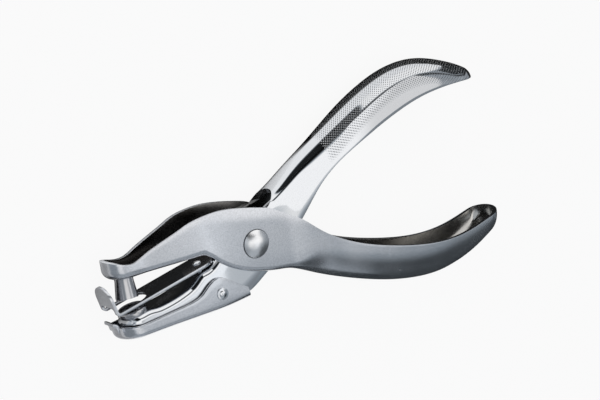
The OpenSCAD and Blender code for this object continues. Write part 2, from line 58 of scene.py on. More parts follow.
# %% [markdown]
# ## Camera
# The photograph looks at the tool from above its side, with the camera rolled so that the
# jaws point down to the left. The three directions below are the camera's own right, up
# and backward directions, measured from the outlines of the tool in the photograph. The
# small shift keeps the tool where it stands in the picture. A long lens is used because
# the near and the far handle edges differ only a little in size.

# %% Camera
CAMERA_PLACE = Vector((-0.34848, 0.25845, 0.67924))
CAMERA_RIGHT = Vector((0.81862, -0.24204, 0.52084))
CAMERA_UP = Vector((0.37172, 0.91459, -0.15924))
CAMERA_BACK = Vector((-0.43781, 0.32396, 0.83867))
PICTURE_WIDTH = 600

camera_data = bpy.data.cameras.new("camera")
camera_data.lens = 171.36
camera_data.sensor_width = 36
camera_data.shift_x = 50 / PICTURE_WIDTH
camera_data.shift_y = 40 / PICTURE_WIDTH
camera_data.clip_start = 0.01
camera = bpy.data.objects.new("camera", camera_data)
bpy.context.scene.collection.objects.link(camera)
axes = Matrix((CAMERA_RIGHT, CAMERA_UP, CAMERA_BACK)).transposed().to_4x4()
camera.matrix_world = Matrix.Translation(CAMERA_PLACE) @ axes
bpy.context.scene.camera = camera
print("camera stands", round(CAMERA_PLACE.length, 3), "m from the pivot")

# %% [markdown]
# ## Sizes
# The tool is drawn here in millimetres, each lever closed, with its jaw face along X and
# the pivot at the origin. A piece is turned into its open place and brought to metres
# only when its mesh is finished, so the numbers stay easy to read. They are the sizes of
# the CAD model, written again because this script reads nothing but the frame.

# %% Sizes of the levers
MM = 0.001
OPENING = 11.0           # degrees between the two jaw faces
PIVOT_HEIGHT = 8.3       # the levers' middle plane above the table
SHEET = 1.2              # thickness of the levers' steel
DIE_HALF = 5.0           # half of each lever's width beside the pivot
DIE_INNER_HALF = DIE_HALF - SHEET
PUNCH_INNER_HALF = 5.2
PUNCH_HALF = PUNCH_INNER_HALF + SHEET
GRIP_HALF = 7.0          # half of both handles' width, at the grip and at the tip
TIP_HALF = 6.3
PUNCH_REACH = 39.2       # from the pivot to the punch, and to the handles' tips
PUNCH_GRIP_REACH = 84.0
DIE_GRIP_REACH = 85.4
NOSE_X = -44.9           # the front of each jaw
DIE_NOSE_X = NOSE_X - 0.55
PUNCH_FACE = 1.1         # the outer face of each jaw's back
DIE_FACE = -1.98
HANDLE_X = 15.8          # where the handles begin


def placed(turn_degrees):
    """The move from a closed lever's own place to its place in the open tool, in metres."""
    turn = Matrix.Rotation(math.radians(turn_degrees), 4, "Z")
    return Matrix.Scale(MM, 4) @ Matrix.Translation((0, 0, PIVOT_HEIGHT)) @ turn


PUNCH_PLACE = placed(-OPENING / 2)
DIE_PLACE = placed(OPENING / 2)
print("open by", OPENING, "degrees, pivot at", PIVOT_HEIGHT, "mm above the table")

# %% [markdown]
# ## Smooth lines
# Seen from the side, a lever is two lines: the outer face of its back, called the web,
# and the open rim of its cheeks. Each line is a list of measured points. Straight pieces
# would show as kinks, and a spline alone still changes its bend from point to point,
# which a mirror finish shows though the outline hides it. So a curve is drawn through the
# points and then averaged over a short stretch, which is longer on the handle than on the
# jaw with its small steps.

# %% Smooth line
JAW_STRETCH, HANDLE_STRETCH = 0.7, 3.5
STRETCH_FROM, STRETCH_TO = 8, 30
FINE = 0.1               # distance between the places that a line is kept at
NEIGHBOURS = 90          # places to each side that an average takes in


class SmoothLine:
    """A smooth line through points, which can be read at any x."""

    def __init__(self, points):
        xs, ys = np.array(points).T
        count = len(xs)
        before = [max(0, i - 1) for i in range(count)]
        after = [min(count - 1, i + 1) for i in range(count)]
        slopes = (ys[after] - ys[before]) / (xs[after] - xs[before])
        self.x = np.arange(xs[0] - 4, xs[-1] + 4, FINE)
        cell = np.clip(np.searchsorted(xs, self.x, side="right") - 1, 0, count - 2)
        step = xs[cell + 1] - xs[cell]
        u = np.clip((self.x - xs[cell]) / step, 0, 1)
        rise = ys[cell + 1] - ys[cell]
        s0, s1 = slopes[cell] * step, slopes[cell + 1] * step
        curve = ys[cell] + u * (s0 + u * (3 * rise - 2 * s0 - s1
                                          + u * (s0 + s1 - 2 * rise)))
        curve += np.minimum(self.x - xs[0], 0) * slopes[0]
        curve += np.maximum(self.x - xs[-1], 0) * slopes[-1]
        stretch = np.interp(self.x, [STRETCH_FROM, STRETCH_TO],
                            [JAW_STRETCH, HANDLE_STRETCH])
        self.y = np.empty_like(curve)
        for i, x in enumerate(self.x):
            near = slice(max(0, i - NEIGHBOURS), i + NEIGHBOURS + 1)
            weight = np.exp(-0.5 * ((self.x[near] - x) / stretch[i]) ** 2)
            self.y[i] = (weight * curve[near]).sum() / weight.sum()
        length = np.hypot(np.diff(self.x), np.diff(self.y))
        self.length = np.concatenate([[0], np.cumsum(length)])

    def at(self, x):
        return float(np.interp(x, self.x, self.y))

    def along(self, x):
        """Length of the line from its start to a place."""
        return float(np.interp(x, self.x, self.length))


print("a line is kept at", round(1 / FINE), "places per mm")

# %% [markdown]
# ## Section of a pressed channel
# A lever is one flat blank that a press folds into a channel: a back, two rounded bends
# and two cheeks. The section is worked out at any place along it, from the rim over the
# bend to the middle of the back, so that width, bend and bulge can each change smoothly.
# Two values are for the handles only. A tall bend reaches further down the cheek than
# across the back, as where a press lets the cheek roll in, and a lean opens the cheeks.

# %% Section
WALL_ROWS, BEND_ROWS, BACK_ROWS = 4, 10, 5
LEAST_BEND, LEAST_WALL = 0.35, 0.4


def ease(x, x0, x1, v0, v1):
    """A value that goes smoothly from v0 to v1 between x0 and x1."""
    t = min(max((x - x0) / (x1 - x0), 0), 1)
    return v0 + (v1 - v0) * t * t * (3 - 2 * t)


def crown_turn(flat, bend, bulge, tall):
    """How far the bend's arc runs short of the back, so that a bulging back meets it
    without a crease."""
    low, high = 0.0, math.radians(60)
    for _ in range(30):
        mid = (low + high) / 2
        lift = (flat + bend * math.sin(mid)) * tall * math.tan(mid) / 2
        if lift - tall * bend * (1 - math.cos(mid)) < bulge:
            low = mid
        else:
            high = mid
    return (low + high) / 2


def section(half, height, bend, crown, tall, lean):
    """Half of a channel's outer section as [across, depth below the back], from the rim
    to the middle of the back."""
    bulge = min(crown, height / 4)
    bend = max(LEAST_BEND, min(bend, (height - bulge - LEAST_WALL) / tall))
    flat = half - bend
    turn = crown_turn(flat, bend, bulge, tall)
    wall = height - bulge - bend * tall
    rows = [(half + lean * wall * (1 - k / WALL_ROWS), height - wall * k / WALL_ROWS)
            for k in range(WALL_ROWS)]
    for k in range(BEND_ROWS + 1):
        a = math.radians(90) + (turn - math.radians(90)) * k / BEND_ROWS
        rows.append((flat + bend * math.sin(a), bulge + tall * bend * (1 - math.cos(a))))
    edge, lift = rows[-1]
    for k in range(1, BACK_ROWS + 1):
        share = 1 - k / BACK_ROWS
        rows.append((edge * share, lift * share * share))
    return rows


print("rows of a section:", len(section(GRIP_HALF, 9, 5, 0.5, 1, 0)))

# %% [markdown]
# ## Press a channel
# The mesh starts as a ring of vertices laid along the rim, from the handle's tip round
# the nose and back. The ring is extruded row by row down the cheek, round the bend and on
# to the middle of the back, where its two sides are merged. At the nose and at the tip
# the sections fan out round their last place, which closes the channel. Blocks joined by
# Booleans could give the same outline, but no even sheet. Here one skin gets its
# thickness from bmesh's solidify, and the two edges of the rim are then rounded with a
# bevel, because cut sheet is tumbled before it is plated.

# %% Mesh helpers
def verts_of(made):
    """The vertices among what an operator made."""
    return [g for g in made if isinstance(g, bmesh.types.BMVert)]


def ring_step(bm, ring):
    """Extrudes a closed ring of vertices once and returns the new ring in order."""
    edges = [bm.edges.get((a, b)) for a, b in zip(ring, ring[1:] + ring[:1])]
    made = set(verts_of(bmesh.ops.extrude_edge_only(bm, edges=edges)["geom"]))
    return [next(e.other_vert(v) for e in v.link_edges if e.other_vert(v) in made)
            for v in ring]


def round_edges(bm, size, angle=40):
    """Rounds every edge that is sharper than an angle."""
    sharp = [e for e in bm.edges if e.calc_face_angle(0) > math.radians(angle)]
    bmesh.ops.bevel(bm, geom=sharp, offset=size, offset_type="OFFSET", affect="EDGES",
                    segments=3, profile=0.5, clamp_overlap=True, material=-1)


def steps(start, stop, size):
    """Evenly spaced numbers from start up to stop, about size apart."""
    count = max(1, round((stop - start) / size))
    return [start + (stop - start) * i / count for i in range(count)]


def new_object(name, bm):
    """An object from a bmesh, in the scene, with its place in its mesh."""
    mesh = bpy.data.meshes.new(name)
    bm.to_mesh(mesh)
    bm.free()
    obj = bpy.data.objects.new(name, mesh)
    bpy.context.scene.collection.objects.link(obj)
    return obj


print("steps of 0.5 from 0 to 2:", steps(0, 2, 0.5))

# %% Channel
FAN = 20                 # steps round a nose or a tip


def constant(value):
    """A size that is the same all along a channel."""
    return lambda x: value


class Channel:
    """The form of a pressed channel: the lines of its back and its rim, the side that its
    cheeks rise to (1 for +Y, -1 for -Y), and the sizes of its section at any x."""

    def __init__(self, web, rim, side, half_at, bend_at, crown_at,
                 tall_at=constant(1.0), lean_at=constant(0.0)):
        self.web, self.rim, self.side = web, rim, side
        self.half_at, self.bend_at, self.crown_at = half_at, bend_at, crown_at
        self.tall_at, self.lean_at = tall_at, lean_at

    def column(self, foot, heading, reach):
        """The half section at a place, turned to a heading in degrees, as points."""
        c = math.cos(math.radians(heading)) * reach
        s = math.sin(math.radians(heading))
        half = self.half_at(foot)
        wall_x = foot + half * c
        height = self.side * (self.rim.at(wall_x) - self.web.at(wall_x))
        rows = section(half, height, self.bend_at(foot), self.crown_at(foot),
                       self.tall_at(foot), self.lean_at(foot))
        return [(foot + a * c, self.web.at(foot + a * c) + self.side * d, a * s)
                for a, d in rows]


def pressed(channel, xs, nose_reach, tip_reach, thickness, rounding):
    """A pressed channel as a closed shell in millimetres. A reach below 1 flattens the
    round of the nose or the tip."""
    ribs = [(x, 90.0, 1.0) for x in reversed(xs)]
    ribs += [(xs[0], 90 + 180 * k / FAN, nose_reach) for k in range(1, FAN)]
    ribs += [(x, 270.0, 1.0) for x in xs]
    ribs += [(xs[-1], 270 + 180 * k / FAN, tip_reach) for k in range(1, FAN)]
    columns = [channel.column(*rib) for rib in ribs]
    bm = bmesh.new()
    bmesh.ops.create_circle(bm, cap_ends=False, radius=10, segments=len(ribs))
    ring = bm.verts[:]
    for row in range(len(columns[0])):
        if row:
            ring = ring_step(bm, ring)
        for vert, column in zip(ring, columns):
            vert.co = column[row]
    bmesh.ops.remove_doubles(bm, verts=bm.verts, dist=0.004)
    bmesh.ops.recalc_face_normals(bm, faces=bm.faces)
    skin = bm.faces[:]
    if sum(f.normal.y * f.calc_area() for f in skin) * channel.side > 0:
        bmesh.ops.reverse_faces(bm, faces=skin)
    bmesh.ops.solidify(bm, geom=skin, thickness=thickness)
    print("volume of the shell:", round(bm.calc_volume(signed=True)), "mm3,",
          len(bm.faces), "faces")
    round_edges(bm, rounding, angle=55)
    return bm


print("sections fanned out round a nose or a tip:", FAN - 1)

# %% [markdown]
# ## Cut the windows
# Where the levers cross, the back of each is cut away. The cutters are plain blocks with
# rounded corners, and the Boolean modifier takes them out of the finished shell. It is
# applied at once and the cutters are removed. A cutter never runs in one plane with a
# face of the sheet, because that confuses the Boolean: it stays a hair inside the space,
# or follows the cheek a hair inside the sheet. Cutters that overlap are used one after
# the other.

# %% Cutters
SHY = 0.02               # what a cutter keeps away from a face along it
BEYOND = 20              # so far from the pivot, a cutter ends outside the jaws


def round_corners(bm, edges, height, corner):
    """Rounds those edges that run along Y for a block's whole height."""
    upright = [e for e in edges if abs(e.verts[0].co.y - e.verts[1].co.y) > 0.9 * height]
    bmesh.ops.bevel(bm, geom=upright, offset=corner, offset_type="OFFSET",
                    affect="EDGES", segments=10, profile=0.5, material=-1)


def add_block(bm, low, high, corner=0.0):
    """Adds a block to a bmesh, with the four edges along Y rounded."""
    made = bmesh.ops.create_cube(bm, size=1)["verts"]
    size = Vector(high) - Vector(low)
    bmesh.ops.scale(bm, vec=size, verts=made)
    bmesh.ops.translate(bm, vec=(Vector(high) + Vector(low)) / 2, verts=made)
    if corner:
        round_corners(bm, [e for e in bm.edges if e.verts[0] in made], size.y, corner)


def add_wedge(bm, stations, low, high, corner):
    """Adds a block from low to high in Y whose half width follows stations of (x, half),
    with its four corners rounded."""
    around = stations + [(x, -half) for x, half in reversed(stations)]
    face = bm.faces.new([bm.verts.new((x, low, z)) for x, z in around])
    made = bmesh.ops.extrude_face_region(bm, geom=[face])["geom"]
    bmesh.ops.translate(bm, vec=(0, high - low, 0), verts=verts_of(made))
    bmesh.ops.recalc_face_normals(bm, faces=bm.faces)
    ends = (stations[0][0], stations[-1][0])
    at_ends = [e for e in bm.edges
               if any(abs(e.verts[0].co.x - x) < 0.001 for x in ends)]
    round_corners(bm, at_ends, high - low, corner)


def add_bore(bm, centre, diameter, length):
    """Adds a cylinder along Y to a bmesh."""
    turn = Matrix.Rotation(math.radians(90), 4, "X")
    bmesh.ops.create_cone(bm, cap_ends=True, segments=64, radius1=diameter / 2,
                          radius2=diameter / 2, depth=length,
                          matrix=Matrix.Translation(centre) @ turn)


def cut(obj, cutter_bm):
    """Takes a bmesh out of an object and removes it."""
    cutter = new_object("cutter", cutter_bm)
    boolean = obj.modifiers.new("cut", "BOOLEAN")
    boolean.object = cutter
    boolean.operation = "DIFFERENCE"
    boolean.solver = "EXACT"
    graph = bpy.context.evaluated_depsgraph_get()
    mesh = bpy.data.meshes.new_from_object(obj.evaluated_get(graph))
    obj.modifiers.clear()
    old = obj.data
    obj.data = mesh
    bpy.data.meshes.remove(old)
    bpy.data.objects.remove(cutter)
    print(obj.name, "after the cut:", len(mesh.polygons), "faces")


print("cutters keep", SHY, "mm away")

# %% [markdown]
# ## Finish a piece
# The knurl of a grip is pressed into the flat blank before it is folded, so its rows
# follow the sheet. For that each lever gets a UV map that unrolls it: along its back, and
# from the middle of the back round the bend and down the cheek. The faces that look into
# a channel are found too, because the shade in there is painted on them. Then the mesh is
# moved to its place in the open tool, which leaves the object itself at the origin, and
# the frame is told which body carries it and which CAD node it stands for.

# %% Finishing helpers
SHARP = 35               # edges with a wider angle than this, in degrees, stay sharp


def unroll(obj, channel):
    """Writes the UV map of the unrolled channel, in centimetres."""
    layer = obj.data.uv_layers.new(name="unrolled")
    uvs = []
    for v in obj.data.vertices:
        x, y, z = v.co
        half, bend, crown = channel.half_at(x), channel.bend_at(x), channel.crown_at(x)
        depth = channel.side * (y - channel.web.at(x)) / channel.tall_at(x)
        flat = half - bend
        if abs(z) <= flat:
            across = abs(z)
        elif depth < bend + crown:
            across = flat + bend * math.atan2(abs(z) - flat, bend + crown - depth)
        else:
            across = flat + bend * math.pi / 2 + depth - bend - crown
        uvs.append((channel.web.along(x) / 10, math.copysign(across, z) / 10))
    for loop in obj.data.loops:
        layer.data[loop.index].uv = uvs[loop.vertex_index]


def faces_inside(obj, channel, ends):
    """The faces that look into a channel, found from the middle line of its space."""
    found = []
    for face in obj.data.polygons:
        x = min(max(face.center.x, ends[0]), ends[1])
        middle_y = (channel.web.at(x) + channel.rim.at(x)) / 2 + channel.side * 0.5
        to_middle = (Vector((x, middle_y, 0)) - face.center).normalized()
        if face.normal.dot(to_middle) > 0.02:
            found.append(face.index)
    return found


def finish_piece(obj, place, body, material, nodes, lining=None, inside=()):
    """Puts a finished mesh in its place and hands it to the frame. Inside lists the faces
    that get the lining."""
    obj.data.transform(place)
    obj.data.shade_smooth()
    obj.data.set_sharp_from_angle(angle=math.radians(SHARP))
    obj.data.materials.clear()
    obj.data.materials.append(material)
    if lining:
        obj.data.materials.append(lining)
    for index in inside:
        obj.data.polygons[index].material_index = 1
    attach(obj, body)
    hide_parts(*nodes)
    corners = np.array([v.co for v in obj.data.vertices])
    size = (corners.max(0) - corners.min(0)) / MM
    print(f"{obj.name}: {len(obj.data.polygons)} faces, "
          f"{size[0]:.1f} x {size[1]:.1f} x {size[2]:.1f} mm")


# %% [markdown]
# ## Metals
# Everything on the tool is steel. The levers and the receptacle carry a chrome plate,
# the punch and the die are ground, and the spring is drawn wire. A plain metal with one
# roughness looks like plastic film. Here each finish has its own colour, its roughness
# drifts in soft patches, a fine grain bumps it, and the grain darkens the colour a
# little, as plated steel does under a lens. All of it is noise on the piece's own
# coordinates, so it stays on the piece when the joints move.

# %% Node helper
class Recipe:
    """Adds and links shader nodes in one tree."""

    def __init__(self, tree):
        self.tree = tree

    def node(self, kind, **values):
        made = self.tree.nodes.new(kind)
        for key, value in values.items():
            setattr(made, key, value)
        return made

    def feed(self, socket, value):
        if isinstance(value, bpy.types.NodeSocket):
            self.tree.links.new(value, socket)
        else:
            socket.default_value = value

    def fed(self, made, output, **inputs):
        """Sets or links a node's inputs by name and returns one of its outputs."""
        for name, value in inputs.items():
            self.feed(made.inputs[name.replace("_", " ")], value)
        return made.outputs[output]

    def math(self, operation, *values):
        made = self.node("ShaderNodeMath", operation=operation)
        for socket, value in zip(made.inputs, values):
            self.feed(socket, value)
        return made.outputs[0]

    def ramp(self, value, low, high, start=0.0, stop=1.0):
        """A smooth step from start to stop while the value goes from low to high."""
        made = self.node("ShaderNodeMapRange", interpolation_type="SMOOTHSTEP")
        return self.fed(made, "Result", Value=value, From_Min=low, From_Max=high,
                        To_Min=start, To_Max=stop)

    def blend(self, share, first, second):
        """A colour between two, by a share from 0 to 1."""
        made = self.node("ShaderNodeMix", data_type="RGBA")
        return self.fed(made, "Result", Factor=share, A=first, B=second)

    def noise(self, vector, scale, detail):
        return self.fed(self.node("ShaderNodeTexNoise"), "Fac", Vector=vector, Scale=scale,
                        Detail=detail)

    def bump(self, height, strength, distance, **below):
        """A bump. Another bump's normal can be given as Normal, to lie below it."""
        return self.fed(self.node("ShaderNodeBump"), "Normal", Height=height,
                        Strength=strength, Distance=distance, **below)

    def place(self):
        """The point on the piece, in metres."""
        return self.node("ShaderNodeTexCoord").outputs["Object"]

    def parts(self, vector):
        """The X, Y and Z of a vector."""
        made = self.node("ShaderNodeSeparateXYZ")
        self.feed(made.inputs[0], vector)
        return made.outputs


print("a recipe can:", [name for name in vars(Recipe) if not name.startswith("_")])

# %% Metal helper
PATCHES, DOTS = 90, 2400     # how many soft patches and dark dots lie along a metre


def metal(name, colour, rough, grain, grain_depth, speckle=0.04):
    """A metal whose roughness drifts between two values. Grain counts the grains along a
    metre of each axis, and speckle is how much the dots darken the colour."""
    material = bpy.data.materials.new(name)
    material.use_nodes = True
    shader = material.node_tree.nodes["Principled BSDF"]
    shader.inputs["Base Color"].default_value = (*colour, 1)
    shader.inputs["Metallic"].default_value = 1.0
    recipe = Recipe(material.node_tree)
    place = recipe.place()
    patches = recipe.noise(place, PATCHES, 4)
    recipe.feed(shader.inputs["Roughness"], recipe.ramp(patches, 0.3, 0.7, *rough))
    grains = recipe.fed(recipe.node("ShaderNodeMapping"), "Vector", Vector=place,
                        Scale=grain)
    normal = recipe.bump(recipe.noise(grains, 1, 4), 0.5, grain_depth)
    recipe.feed(shader.inputs["Normal"], normal)
    dots = recipe.ramp(recipe.noise(place, DOTS, 2), 0.35, 0.7)
    darker = (*(c * (1 - speckle) for c in colour), 1)
    recipe.feed(shader.inputs["Base Color"], recipe.blend(dots, (*colour, 1), darker))
    print("finish:", name)
    return material, recipe, shader, normal


def dye(recipe, shader, share, colour):
    """Lays a colour over a metal's own, by a share from 0 to 1."""
    own = shader.inputs["Base Color"].links[0].from_socket
    recipe.feed(shader.inputs["Base Color"], recipe.blend(share, own, (*colour, 1)))


# %% [markdown]
# ## Knurl
# The backs of both grips are knurled, so that they don't slip. On the real tool a roll
# presses rows of small pits into the blank before it is folded, so the rows follow the
# blank. The pattern therefore reads the unrolled map of each lever, in centimetres. It is
# a grid of pits turned by 45 degrees, and it fades at both ends and along the cheeks.
# Modelled pits would need hundreds of thousands of faces, so they are a bump. Shade is
# painted into them, which is what makes a knurl look grey from afar.

# %% Knurl helper
PIT_PITCH = 0.062        # between two rows of pits, in centimetres
PIT_EDGE, PIT_FLOOR = 0.62, 0.97
END_FADE, SIDE_FADE = 0.35, 0.25
# colour of the shade painted into the knurl's pits
PIT_SHADE = (0.03, 0.03, 0.032)


def add_knurl(recipe, shader, normal, start, stop, reach, depth, pit_shade):
    """Presses pits of a depth in metres into a metal, from start to stop along the
    unrolled blank and as far as the reach across it."""
    blank = recipe.parts(recipe.node("ShaderNodeUVMap", uv_map="unrolled").outputs["UV"])
    along, across = blank["X"], blank["Y"]
    wave = math.pi / PIT_PITCH / math.sqrt(2)
    one, two = (recipe.math("SINE", recipe.math("MULTIPLY", recipe.math(
        way, along, across), wave)) for way in ("ADD", "SUBTRACT"))
    pits = recipe.ramp(recipe.math("ABSOLUTE", recipe.math("MULTIPLY", one, two)),
                       PIT_EDGE, PIT_FLOOR)
    middle, half = (start + stop) / 2, (stop - start) / 2
    from_middle = recipe.math("ABSOLUTE", recipe.math("SUBTRACT", along, middle))
    ends = recipe.ramp(from_middle, half - END_FADE, half, 1, 0)
    sides = recipe.ramp(recipe.math("ABSOLUTE", across), reach - SIDE_FADE, reach, 1, 0)
    height = recipe.math("MULTIPLY", pits, recipe.math("MULTIPLY", ends, sides))
    pressed_in = recipe.math("MULTIPLY", height, -1)
    recipe.feed(shader.inputs["Normal"], recipe.bump(pressed_in, 1.0, depth, Normal=normal))
    # Painted shade: the pits are darkened by the share given last
    dye(recipe, shader, recipe.math("MULTIPLY", height, pit_shade), PIT_SHADE)
    print("knurl from", round(start, 2), "to", round(stop, 2), "cm along the blank")


# %% [markdown]
# ## Painted shade inside
# The levers are dark and a little dull inside their channels, and this shade is painted.
# Towards the tips of the handles it is painted lighter. A second material on the inner
# faces shows this, blended along the tool by the piece's own X.

# %% Metals of the tool
SATIN = (0.72, 0.74, 0.78)
CHROME = (0.8, 0.82, 0.85)
SHADED_TO, LIT_FROM = 0.045, 0.062

# Painted shade on the faces that look into the channels
channel_shade_lining, *lining_parts = metal("painted_channel_shade", (0.2, 0.195, 0.19),
                                     (0.12, 0.3), (600, 600, 600), 0.000004)
lining_recipe, lining_shader = lining_parts[:2]
lining_x = lining_recipe.parts(lining_recipe.place())["X"]
# Painted light: the inner faces turn lighter towards the tips of the handles
dye(lining_recipe, lining_shader, lining_recipe.ramp(lining_x, SHADED_TO, LIT_FROM),
    (0.64, 0.63, 0.61))
sheet_satin = metal("sheet_satin_chrome", SATIN, (0.17, 0.25), (900, 900, 900), 0.000003,
                    speckle=0.09)[0]
rivet_metal = metal("worn_rivet_chrome", (0.93, 0.94, 0.96), (0.31, 0.36),
                    (500, 500, 500), 0.000002)[0]
bright = metal("bright_chrome", CHROME, (0.05, 0.1), (500, 500, 500), 0.000002)[0]
ground = metal("ground_tool_steel", (0.6, 0.6, 0.62), (0.1, 0.18), (900, 6000, 900),
               0.000004)[0]
plain = metal("turned_bush_steel", (0.5, 0.5, 0.52), (0.25, 0.4), (3000, 3000, 3000),
              0.000004)[0]
wire_metal = metal("drawn_spring_wire", (0.42, 0.43, 0.45), (0.18, 0.3),
                   (4000, 4000, 4000), 0.000006)[0]

# %% [markdown]
# ## Both handles
# The levers differ at their jaws, but their handles are made alike. They widen evenly to
# the grip and narrow to a blunt round tip, and the grip's back bulges a little so that it
# fits the hand. Changes of width could be straight tapers, but a mirror shows where such
# a taper starts, so all of them are eased.

# %% Handles
WIDEN_FROM, WIDEN_TO, NARROW_FROM = 18.3, 47.8, 55.8
GRIP_BEND, GRIP_CROWN = 5, 0.5
TIP_ROUND = 4.5          # from the last rib to the end of a handle
WIDE_RIBS_FROM = 20
RIM_ROUNDING = 0.28


def on_handle(reach, shares):
    """Points of a handle, given as shares of its length, as [x, y]."""
    return [(HANDLE_X + share * (reach - HANDLE_X), y) for share, y in shares]


def handle_half(x, from_half, reach):
    if x < WIDEN_TO:
        return ease(x, WIDEN_FROM, WIDEN_TO, from_half, GRIP_HALF)
    return ease(x, NARROW_FROM, reach, GRIP_HALF, TIP_HALF)


def lever_crown_at(x):
    return ease(x, HANDLE_X, WIDEN_TO, 0, GRIP_CROWN)


def rib_places(nose, jaw_end, spacing, reach):
    """Where a lever gets its ribs: close together at its jaw and wider on the handle."""
    tip = reach - TIP_ROUND
    front = steps(nose, jaw_end, spacing) + steps(jaw_end, WIDE_RIBS_FROM, 0.9)
    return front + steps(WIDE_RIBS_FROM, tip, 1.1) + [tip]


def pressed_lever(name, form, ribs, nose_reach):
    """One of the two levers, before its windows are cut."""
    return new_object(name, pressed(form, ribs, nose_reach, TIP_ROUND / TIP_HALF, SHEET,
                                    RIM_ROUNDING))


print("half width of the upper handle:",
      [round(handle_half(x, DIE_HALF, DIE_GRIP_REACH), 2) for x in (20, 50, 80)], "mm")

# %% [markdown]
# ## Punch lever
# This lever is the upper jaw and the lower handle. Its nose is a small round cup and its
# cheeks narrow to a waist behind the punch. From there they part evenly to the flat
# beside the pivot, and turn outwards again at a faint crease where the handle begins. A
# profile swept along a curve would keep one height and one width, so each of these
# changes is a small function that the channel asks at any place.

# %% Form of the punch lever
WAIST_X, WAIST_HALF, NOSE_FLARE = -34.2, 4.5, 0.3
TAPER_FROM, TAPER_TO, TAPER_CORNER = -33.0, -16.0, 1.5
TAPER = (PUNCH_HALF - WAIST_HALF) / (TAPER_TO - TAPER_FROM)
FLARE_FROM, FLARE_TO, FLARE = 11.5, 30, 0.035
NOSE_BEND, WAIST_BEND, FLAT_BEND = 2.3, 2, 1.6
BEND_CHANGES = -15.2
TALL = 1.7
punch_web = SmoothLine([
    (NOSE_X - 1, PUNCH_FACE + 0.8), (-41.67, PUNCH_FACE + 0.25), (-38.67, PUNCH_FACE),
    (-34.17, PUNCH_FACE), (-22.17, PUNCH_FACE), (-18.17, PUNCH_FACE + 0.05),
    (-15.77, 1.06), (-13.57, -0.45), (-11.47, -2.54), (-7.47, -5.34), (-2.17, -7.75),
    (3.83, -9.35), (10.33, -10.54)] + on_handle(PUNCH_GRIP_REACH, [
        (0.010, -13.5), (0.101, -16.85), (0.252, -21.3), (0.422, -25.3), (0.563, -27.3),
        (0.673, -27.7), (0.794, -26.1), (0.884, -23.35), (0.955, -20.15),
        (1.035, -15.14)]))
punch_rim = SmoothLine([
    (NOSE_X - 1, 7.2), (-44.07, 6.75), (-42.17, 6.15), (-40.17, 5.5), (-38.17, 5.1),
    (-36.17, 5.2), (-34.37, 5.9), (-32.17, 6.91), (-27.17, 8.65), (-23.17, 9.96),
    (-18.87, 11.46), (-13.67, 12.15), (-8.67, 12.15), (-3.17, 11.26), (2.33, 9.86),
    (6.33, 8.55), (9.83, 6.46), (13.83, 3.96)] + on_handle(PUNCH_GRIP_REACH, [
        (0.021, 1.66), (0.071, -1.85), (0.121, -4.54), (0.191, -7.45), (0.282, -10.54),
        (0.462, -14.64), (0.623, -17.15), (0.734, -17.65), (0.824, -17.05),
        (0.914, -15.44), (1.035, -13.35)]))


def bent(x, width):
    """A line that is level below 0 and rises 1 in 1 above it, with a soft corner."""
    return (x + math.hypot(x, width)) / 2


def punch_half_at(x):
    if x < FLARE_FROM:
        nose = ease(x, -PUNCH_REACH, WAIST_X, NOSE_FLARE, 0)
        rise = bent(x - TAPER_FROM, TAPER_CORNER) - bent(x - TAPER_TO, TAPER_CORNER)
        return min(WAIST_HALF + nose + TAPER * rise, PUNCH_HALF)
    flare = FLARE * (x - FLARE_FROM) * ease(x, FLARE_FROM, FLARE_TO, 1, 0)
    return handle_half(x, PUNCH_HALF, PUNCH_GRIP_REACH) + flare


def punch_bend_at(x):
    """The bend's radius. It may change at once where the window takes most of the bend."""
    if x < BEND_CHANGES:
        return ease(x, -PUNCH_REACH, WAIST_X, NOSE_BEND, WAIST_BEND)
    return ease(x, 8, 23, FLAT_BEND, GRIP_BEND)


def punch_tall_at(x):
    """How much further the lower handle's bend reaches down its cheek than across its
    back."""
    return ease(x, 10, 21, 1, TALL)


punch_form = Channel(punch_web, punch_rim, 1, punch_half_at, punch_bend_at,
                     lever_crown_at, tall_at=punch_tall_at)
print("length of the punch lever's back:", round(punch_web.length[-1], 1), "mm")

# %% [markdown]
# Its plate is satin, with a close grain. A thin ring of painted shadow lies round the head
# of the rivet where it meets the cheek, and the knurl is shallow and worn. The ring could
# be painted as a texture, but the distance from the pivot's axis finds it without one.

# %% Finish of the punch lever
satin, *satin_parts = metal("pressed_satin_chrome", SATIN, (0.2, 0.28),
                            (2600, 2600, 2600), 0.000002, speckle=0.11)
satin_recipe, satin_shader = satin_parts[:2]
satin_place = satin_recipe.parts(satin_recipe.place())
from_rivet = satin_recipe.math("SQRT", satin_recipe.math("ADD", *(
    satin_recipe.math("POWER", satin_place[axis], 2) for axis in "XY")))
# Painted shadow: a thin dark ring on the cheek round the rivet's head
painted_rivet_shadow = satin_recipe.math("MULTIPLY", satin_recipe.ramp(from_rivet, 0.0037, 0.0039),
                         satin_recipe.ramp(from_rivet, 0.00405, 0.0043, 0.9, 0))
dye(satin_recipe, satin_shader, painted_rivet_shadow, (0.05, 0.05, 0.055))
add_knurl(*satin_parts, punch_web.along(38) / 10, punch_web.along(80) / 10, reach=0.82,
          depth=0.00006, pit_shade=0.45)

# %% Punch lever
PUNCH_FIRST_RIB = -40.5
WINDOW_PLACES = (-20.3, -18.4, -17.2, -16, -14.8, -13, -10, 9.4, 11.3)
WINDOW_CORNER, WINDOW_TOP = 1.5, 2.9

